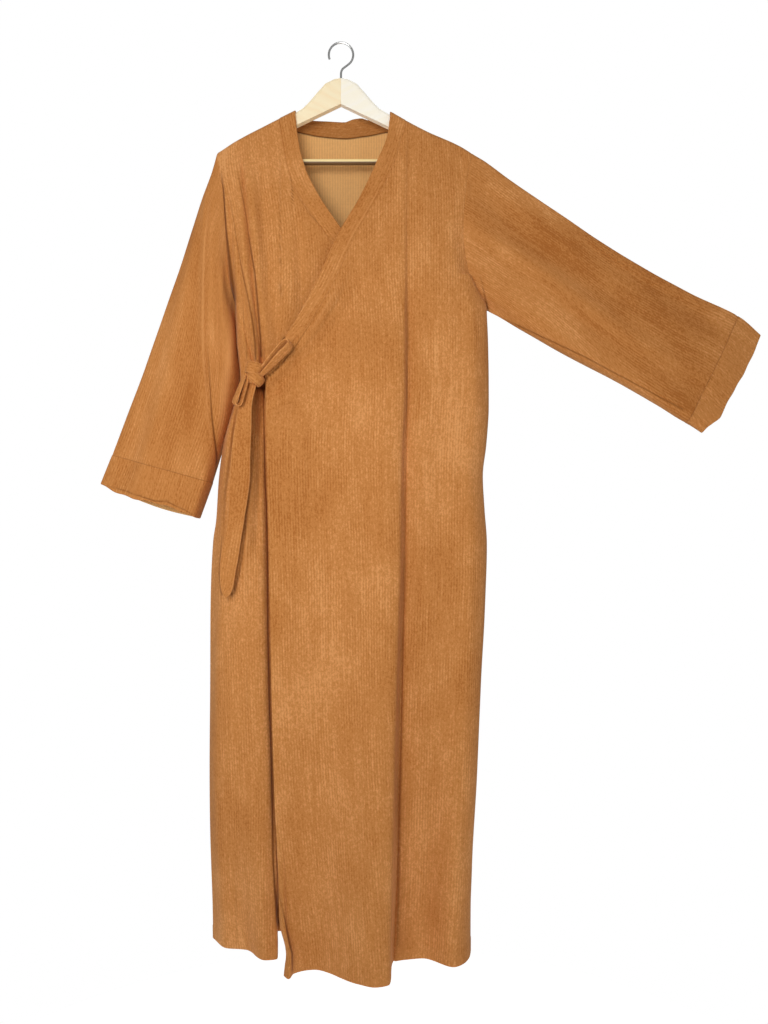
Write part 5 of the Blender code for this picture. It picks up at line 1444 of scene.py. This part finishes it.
class ABAYA_OT_fronts(bpy.types.Operator):
    """Make the two fronts, the left one wrapped over the right"""

    bl_idname = "abaya.fronts"
    bl_label = "Fronts"

    def execute(self, context):
        sizes = cloth_sizes()
        _, underarm, waist = body_rows()
        for node, (grid, across), side, free, key, seed in (
            ("left_front", over_front_grid(), -1, 0, "over", 1),
            ("right_front", under_front_grid(), 0, -1, "under", 2),
        ):
            reach = rims(grid)
            inner, outer = ("left", "right") if free == 0 else ("right", "left")
            seam = np.minimum.reduce([reach["top"], reach[outer], only(reach[inner], slice(0, waist + 1))])
            edge = np.minimum(reach["bottom"], only(reach[inner], slice(waist, None)))
            crossing = band_points(*front_band_lines(key))[1]
            cut = (across, grid[:, :, 2])
            piece = cloth(
                node + "_cloth", grid, sizes.wall, FORWARD, corduroys(seed, sewn=0.10), cut, seam, edge,
                [
                    ((0, slice(None)), BACKWARD),
                    ((slice(0, waist + 1), free), crossing),
                    ((slice(underarm, None), side), BACKWARD),
                    ((slice(0, underarm + 1), side), armhole_crossings(grid, side)),
                ],
                crumple_map(cut, FRONT_WAVES, seed),
                hem=reach["bottom"],
                lines=CREASE_LINES[node],
            )
            stands_for(piece, node, "body_cloth")
            hung_sheet(grid)
        return {"FINISHED"}


class ABAYA_OT_back(bpy.types.Operator):
    """Make the back"""

    bl_idname = "abaya.back"
    bl_label = "Back"

    def execute(self, context):
        grid, across = back_grid()
        roll, underarm, _ = body_rows()
        first, last = neck_columns(grid)
        reach = rims(grid)
        neck = reach["top"].copy()
        neck[:, first : last + 1] -= neck[roll, first : last + 1]
        seam = np.minimum.reduce([np.abs(neck), reach["left"], reach["right"]])
        cut = (across, grid[:, :, 2])
        crossing = band_points(*back_neck_lines())[1]
        piece = cloth(
            "back_cloth", grid, cloth_sizes().wall, BACKWARD, corduroys(3, sewn=0.10), cut, seam,
            reach["bottom"],
            [
                ((0, slice(None)), BACKWARD),
                ((slice(0, roll), first), crossing[:roll]),
                ((roll, slice(first, last + 1)), crossing[roll : roll + NECK_COLUMNS + 1]),
                ((slice(0, roll), last), crossing[::-1][:roll]),
                ((slice(underarm, None), -1), BACKWARD),
                ((slice(0, underarm + 1), -1), armhole_crossings(over_front_grid()[0], -1)),
                ((slice(underarm, None), 0), BACKWARD),
                ((slice(0, underarm + 1), 0), armhole_crossings(under_front_grid()[0], 0)),
            ],
            crumple_map(cut, BACK_WAVES, 3),
            gone={(row, column) for row in range(roll) for column in range(first, last)},
            hem=reach["bottom"],
        )
        stands_for(piece, "back", "body_cloth")
        hung_sheet(grid)
        return {"FINISHED"}


def back_neck_lines():
    """The seam of the back neck band and its free top edge, both with the turn over the shoulders."""
    grid = back_grid()[0]
    roll = body_rows()[0]
    first, last = neck_columns(grid)
    seam = np.concatenate([grid[:roll, first], grid[roll, first : last + 1], grid[:roll, last][::-1]])
    line = back_neck_points("top").copy()
    line[:, 2] += NECK_LIP[2] * np.exp(-(((line[:, 0] - NECK_LIP[0]) / NECK_LIP[1]) ** 4))
    right = np.array([row[0] for row in rolled(line[:1], 1)])
    left = np.array([row[0] for row in rolled(line[-1:], 1)])[::-1]
    return seam, np.concatenate([right, line, left])


class ABAYA_OT_bands(bpy.types.Operator):
    """Make the folded bands on both fronts and across the back neck"""

    bl_idname = "abaya.bands"
    bl_label = "Neck bands"

    def execute(self, context):
        shoulder = ((0, slice(None)), BACKWARD)
        other_shoulder = ((-1, slice(None)), BACKWARD)
        for node, lines, outward, seed, sewn, groove_depth, ends in (
            ("left_front_band", front_band_lines("over"), FORWARD, 4, 0.0, 0.0008, [shoulder]),
            ("right_front_band", front_band_lines("under"), FORWARD, 5, 0.05, 0.0004, [shoulder]),
            ("back_neck_band", back_neck_lines(), BACKWARD, 6, 1.0, 0.0006, [shoulder, other_shoulder]),
        ):
            grid, crossing = band_points(*lines)
            reach = rims(grid)
            ends_sewn = [reach["top"]] + ([reach["bottom"]] if len(ends) == 2 else [])
            seam = np.minimum.reduce([reach["left"], *ends_sewn])
            cut = (reach["left"], reach["top"])
            groove = groove_depth * np.exp(-(((reach["left"] - BAND_GROOVE_AT) / BAND_GROOVE_WIDTH) ** 2))
            # The inner face: a darker copy of the same cloth, with painted shade.
            faces = [
                corduroys(seed, sewn=sewn)[0],
                corduroys(seed + BAND_FOLD_SEED, BAND_FOLD_SHADE, sewn=sewn)[0],
            ]
            piece = cloth(
                node + "_cloth", grid, cloth_sizes().band_wall, outward, faces, cut, seam, reach["right"],
                [*ends, ((slice(None), 0), crossing)],
                crumple_map(cut, BAND_WAVES, seed) - groove,
                lines=CREASE_LINES.get(node, ()),
            )
            stands_for(piece, node, "band_cloth")
            hung_sheet(grid)
        return {"FINISHED"}


class ABAYA_OT_sleeves(bpy.types.Operator):
    """Make both sleeves and their deep cuffs"""

    bl_idname = "abaya.sleeves"
    bl_label = "Sleeves and cuffs"

    def execute(self, context):
        sizes = cloth_sizes()
        left_arm = armhole_crossings(over_front_grid()[0], -1)
        right_arm = armhole_crossings(under_front_grid()[0], 0)
        for name, sleeve, side, arm, folds, seed in (
            ("left", SLEEVE_LEFT, LEFT_SIDE, left_arm, SLEEVE_LEFT_FOLDS, 7),
            ("right", SLEEVE_RIGHT, RIGHT_SIDE, right_arm, SLEEVE_RIGHT_FOLDS, 8),
        ):
            half = len(arm) - 1
            order = [*range(half, 2 * half + 1), *range(1, half + 1)]
            stations = np.unique(np.concatenate([
                np.linspace(0.0, CUFF_SEAM, SLEEVE_STEPS + 1),
                [*NEAR_ARMHOLE, *(CUFF_SEAM - step for step in NEAR_CUFF)],
            ]))
            cuff_stations = CUFF_SEAM + (1 - CUFF_SEAM) * end_shares(CUFF_STEPS, CUFF_LENGTH)
            grid, ring = sleeve_grid(sleeve, side, stations)
            arm = np.concatenate([arm, arm[::-1][1:]])
            grid[0] = ring + MEET * arm
            grid = sleeve_folds(grid[:, order], folds, pinned=True)
            cuff = sleeve_folds(sleeve_grid(sleeve, side, cuff_stations)[0][:, order], folds)
            axis = unit(cuff[1] - grid[-2])
            seam_ring = grid[-1].copy()
            grid[-1] = seam_ring - MEET * axis
            cuff[0] = seam_ring + MEET * axis
            long = rims(grid)["top"]
            for node, points, wall, ends, start, slot, cloth_seed, mottle, sewn in (
                ("sleeve_" + name, grid, sizes.wall,
                 [((0, slice(None)), arm[order]), ((-1, slice(None)), axis)],
                 0.0, "sleeve_cloth", seed, 1.4, 0.06),
                ("cuff_" + name, cuff, sizes.band_wall,
                 [((0, slice(None)), axis)],
                 long[-1], "cuff_cloth", seed + 2, 0.4, 0.30),
            ):
                reach = rims(points)
                cut = (reach["left"] - reach["left"][:, half : half + 1], reach["top"] + start)
                is_cuff = node.startswith("cuff")
                ends_sewn = [reach["top"]] if is_cuff else [reach["top"], reach["bottom"]]
                seam = np.minimum.reduce([reach["left"], reach["right"], *ends_sewn])
                edge = reach["bottom"] if is_cuff else np.ones(points.shape[:2])
                piece = cloth(
                    node + "_cloth", points, wall, None, corduroys(cloth_seed, mottle=mottle, sewn=sewn), cut,
                    seam, edge, ends,
                    crumple_map(cut, SLEEVE_WAVES, seed),
                    closed=True,
                    lines=CREASE_LINES.get(node, ()),
                )
                stands_for(piece, node, slot)
                rests_on = "sleeve_" + name + "_cloth" if is_cuff else "hanger_arm_" + name
                hung_sheet(points)
        return {"FINISHED"}


def sleeve_folds(grid, folds, pinned=False):
    """A sleeve's points with the ridges and grooves of its front; the back's are the same, shallower. A
    pinned first ring stays in place."""
    half = grid.shape[1] // 2
    away = rims(grid)["top"]
    grid = grid.copy()
    for row, reach in zip(grid, away):
        around = lengths_along(row)
        turn = np.minimum.reduce([around, around[-1] - around, np.abs(around - around[half])])
        moved = (with_folds(row, folds)[:, 1] - row[:, 1]) * ease(turn / FOLD_CLEAR)
        if pinned:
            moved = moved * ease(reach / ARMHOLE_CLEAR)
        row[half:, 1] += moved[half:]
        row[: half + 1, 1] -= BACK_FOLD * moved[: half + 1]
    grid[:, 0] = grid[:, -1]
    return grid


def skin(name, shapes, materials):
    """One piece of straps: grids of rings, with their cut and the painted highlight and shade on their rims
    and within their loops. A ring joins its two ends.
    """
    mesh, layers = cloth_mesh()
    pairs = {}
    for grid, across, along, rim, ring in shapes:
        rows, columns = grid.shape[:2]
        no_seam = np.ones((rows, columns))
        made, sides = add_grid(mesh, layers, grid, (across, along), no_seam, no_seam * rim)
        pairs.update(sides)
        if ring:
            pairs.update({made[(rows - 1) * columns + column]: made[column] for column in range(columns - 1)})
            pairs[made[rows * columns - 1]] = made[0]
    bmesh.ops.weld_verts(mesh, targetmap=pairs)
    bmesh.ops.holes_fill(mesh, edges=[edge for edge in mesh.edges if edge.is_boundary])
    return finished(name, mesh, materials)


def strap(line, width_ways, half_widths, thickness, ring=False, sides=28, crown=0.0, inside=0.0):
    """A flat folded strip along a line: rounded at its edges, fuller in the middle where crown is above 0.
    Inside is how dark the painted shade on the face within a loop lies; the rims get a painted highlight."""
    if ring:
        around = np.concatenate([line[-2:-1], line, line[1:2]])
        along_ways = unit(around[2:] - around[:-2])
    else:
        along_ways = unit(np.gradient(line, axis=0))
    width_ways = np.broadcast_to(np.asarray(width_ways, float), line.shape)
    width_ways = unit(width_ways - np.sum(width_ways * along_ways, axis=1, keepdims=True) * along_ways)
    face_ways = np.cross(along_ways, width_ways)
    turn = np.linspace(0.0, 2 * math.pi, sides + 1)
    aside = np.sign(np.cos(turn)) * np.abs(np.cos(turn)) ** STRAP_ROUND[0]
    out = np.sign(np.sin(turn)) * np.abs(np.sin(turn)) ** STRAP_ROUND[1] * (1 + crown * (1 - aside**2))
    half_widths = np.broadcast_to(np.asarray(half_widths, float), len(line))
    thickness = np.broadcast_to(np.asarray(thickness, float), len(line))
    grid = (
        line[:, None]
        + width_ways[:, None] * (half_widths[:, None] * aside)[..., None]
        + face_ways[:, None] * (thickness[:, None] / 2 * out)[..., None]
    )
    across = rims(grid)["left"]
    along = np.repeat(lengths_along(line)[:, None], sides + 1, axis=1)
    # Painted shade on the face within a loop, and a painted highlight on the rims.
    rim = np.where((aside < 0) & (out > 0), inside, 0.0) * ease(-1.6 * aside)
    lit_rim = RIM_HIGHLIGHT * ease((np.abs(aside) - RIM_FROM) / (1 - RIM_FROM))
    return grid, across, along, rim - (rim == 0) * lit_rim, ring


def loop_line(root, way, scale):
    """The middle line of a loop of the bow, out along one strand, round its tip and back along the other."""
    way = unit(np.array(way))
    aside = np.array([-way[2], 0.0, way[0]])
    flat = through(LOOP, LOOP_STEPS)
    line = root + way * flat[:, :1] * scale[0] + aside * flat[:, 1:2] * scale[1]
    line[:, 1] += LOOP_LEAN * flat[:, 1] * scale[1]
    return line, aside, flat[:, 2] * scale[1]


class ABAYA_OT_tie(bpy.types.Operator):
    """Make the tie: its knot, the bow's two loops and the long end"""

    bl_idname = "abaya.tie"
    bl_label = "Tie"

    def execute(self, context):
        knot = np.array(KNOT_CENTRE)
        wraps = []
        for at, way, radii, half_width, thickness in KNOT_WRAPS:
            axis = unit(np.array(way))
            forward = unit(FORWARD - np.dot(FORWARD, axis) * axis)
            aside = np.cross(axis, forward)
            turn = np.linspace(0.0, 2 * math.pi, KNOT_STEPS + 1)[:, None]
            line = knot + np.array(at) + aside * radii[0] * np.cos(turn) + forward * radii[1] * np.sin(turn)
            wraps.append(strap(line, axis, half_width, thickness, ring=True, crown=KNOT_CROWN))
        piece = skin("tie_knot_cloth", wraps, corduroys(11))
        stands_for(piece, "tie_knot", "tie_cloth")
        for name, root, way, scale, seed in (
            ("long", LONG_LOOP_ROOT, LONG_LOOP_WAY, (1.0, 1.0), 12),
            ("short", SHORT_LOOP_ROOT, SHORT_LOOP_WAY, SHORT_LOOP_SCALE, 13),
        ):
            line, aside, half_width = loop_line(np.array(root), way, scale)
            ways = aside * math.cos(LOOP_TWIST) + np.array(FORWARD) * math.sin(LOOP_TWIST)
            shape = strap(line, ways, half_width, LOOP_THICKNESS, inside=LOOP_SHADE)
            piece = skin("tie_loop_" + name + "_cloth", [shape], corduroys(seed))
            stands_for(piece, "tie_loop_" + name, "tie_cloth")
            round(float(lengths_along(line)[-1]), 3)
        line = through(np.column_stack([TIE_END[name] for name in ("x", "y", "z")]), END_STEPS)
        half_width = smooth(TIE_END["z"][::-1], TIE_END["half_width"][::-1], line[:, 2])
        thickness = END_THICKNESS * np.clip(half_width / END_FULL, 0.5, 1.0)
        shape = strap(line, (1.0, 0.0, 0.0), half_width, thickness, sides=END_SIDES)
        x, y, z = np.moveaxis(shape[0], 2, 0)
        y += END_TWIST * np.cos(z * END_TWIST_RATE) * ((x - line[:, :1]) / END_TWIST_REACH)
        piece = skin("tie_end_cloth", [shape], corduroys(14))
        stands_for(piece, "tie_end", "tie_cloth")
        area = float(np.sum((half_width[1:] + half_width[:-1]) * np.diff(lengths_along(line))))
        round(float(lengths_along(line)[-1]), 3)
        return {"FINISHED"}


class ABAYA_OT_hanger(bpy.types.Operator):
    """Finish the hanger's wood and its hook"""

    bl_idname = "abaya.hanger"
    bl_label = "Hanger"

    def execute(self, context):
        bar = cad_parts["hanger_bar"]
        heights = [vertex.co.z for vertex in bar.data.vertices]
        middle, radius = (max(heights) + min(heights)) / 2, (max(heights) - min(heights)) / 2
        # The bar's painted shade starts a little above its middle and is full a third of its radius below.
        underside = (middle + 0.15 * radius, 0.5 * radius)
        for node, tones, slope, seed, under in (
            ("hanger_arm_right", ((0.90, 0.72, 0.44), (0.97, 0.84, 0.58)), -0.50, 2.1, None),
            ("hanger_arm_left", ((0.95, 0.87, 0.70), (0.98, 0.94, 0.83)), 0.50, 5.3, None),
            ("hanger_bar", ((0.97, 0.72, 0.30), (0.99, 0.82, 0.42)), 0.0, 8.7, underside),
        ):
            repaint(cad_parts[node], wood("hanger wood " + node, tones, slope, seed, under))
        repaint(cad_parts["hook"], steel("hook steel finish"))
        return {"FINISHED"}


def repaint(node, material):
    node.data.materials.clear()
    node.data.materials.append(material)


class ABAYA_OT_stage(bpy.types.Operator):
    """Set the camera, the lights and the floor"""

    bl_idname = "abaya.stage"
    bl_label = "Stage"

    def execute(self, context):
        sizes = context.scene.abaya_stage
        camera = bpy.data.objects.new("camera", bpy.data.cameras.new("camera"))
        camera.data.lens = sizes.lens
        camera.data.sensor_width = 36.0
        camera.location = (sizes.aside, -sizes.distance, sizes.height)
        camera.rotation_euler = (math.radians(90), 0.0, 0.0)
        context.scene.collection.objects.link(camera)
        context.scene.camera = camera
        for name, power, size, spread, place in (
            ("key", sizes.key, 1.3, 82, (-0.55, -2.0, -0.40)),
            ("fill", sizes.fill, 2.4, 180, (2.6, -1.8, -0.4)),
            ("low fill", sizes.fill / 4, 1.6, 180, (-2.4, -1.2, -0.8)),
        ):
            light = bpy.data.lights.new(name, "AREA")
            light.shape = "DISK"
            light.energy = power
            light.size = size
            light.spread = math.radians(spread)
            lamp = bpy.data.objects.new(name, light)
            lamp.location = place
            lamp.rotation_euler = (Vector(LAMP_AIM) - Vector(place)).to_track_quat("-Z", "Y").to_euler()
            context.scene.collection.objects.link(lamp)
        world = bpy.data.worlds.new("studio")
        world.use_nodes = True
        context.scene.world = world
        nodes = world.node_tree.nodes
        shade = nodes["Background"]
        seen = nodes.new("ShaderNodeLightPath")
        level = nodes.new("ShaderNodeMapRange")
        level.inputs["To Min"].default_value = sizes.sky
        level.inputs["To Max"].default_value = 1.0
        world.node_tree.links.new(seen.outputs["Is Camera Ray"], level.inputs["Value"])
        world.node_tree.links.new(level.outputs["Result"], shade.inputs["Strength"])
        shade.inputs["Color"].default_value = (1.0, 1.0, 1.0, 1.0)
        floor = bmesh.new()
        bmesh.ops.create_circle(floor, cap_ends=True, segments=96, radius=FLOOR_RADIUS)
        bmesh.ops.translate(floor, verts=floor.verts, vec=(*FLOOR_PLACE, sizes.floor))
        graph = Graph("pale floor", Roughness=0.9, Emission_Strength=0.75)
        graph.shader.inputs["Base Color"].default_value = (0.92, 0.92, 0.91, 1.0)
        graph.shader.inputs["Emission Color"].default_value = (1.0, 1.0, 1.0, 1.0)
        finished("floor", floor, [graph.material])
        context.scene.view_settings.view_transform = "Standard"
        return {"FINISHED"}


OPERATORS = (
    ABAYA_OT_fronts,
    ABAYA_OT_back,
    ABAYA_OT_bands,
    ABAYA_OT_sleeves,
    ABAYA_OT_tie,
    ABAYA_OT_hanger,
    ABAYA_OT_stage,
)


class ABAYA_PT_pieces(bpy.types.Panel):
    """The abaya's pieces, each with its button"""

    bl_idname = "ABAYA_PT_pieces"
    bl_label = "Abaya"
    bl_space_type = "VIEW_3D"
    bl_region_type = "UI"
    bl_category = "Abaya"

    def draw(self, context):
        for group in (context.scene.abaya_cloth, context.scene.abaya_stage):
            column = self.layout.column(align=True)
            for name in group.bl_rna.properties.keys():
                if name not in ("rna_type", "name"):
                    column.prop(group, name)
        for operator in OPERATORS:
            self.layout.operator(operator.bl_idname)


CLASSES = (AbayaCloth, AbayaStage, *OPERATORS, ABAYA_PT_pieces)


def register():
    for made in CLASSES:
        bpy.utils.register_class(made)
    bpy.types.Scene.abaya_cloth = bpy.props.PointerProperty(type=AbayaCloth)
    bpy.types.Scene.abaya_stage = bpy.props.PointerProperty(type=AbayaStage)


def unregister():
    del bpy.types.Scene.abaya_stage
    del bpy.types.Scene.abaya_cloth
    for made in reversed(CLASSES):
        bpy.utils.unregister_class(made)


def main():
    register()
    bpy.ops.abaya.fronts()
    bpy.ops.abaya.back()
    bpy.ops.abaya.bands()
    bpy.ops.abaya.sleeves()
    bpy.ops.abaya.tie()
    bpy.ops.abaya.hanger()
    bpy.ops.abaya.stage()


if __name__ == "__main__":
    main()
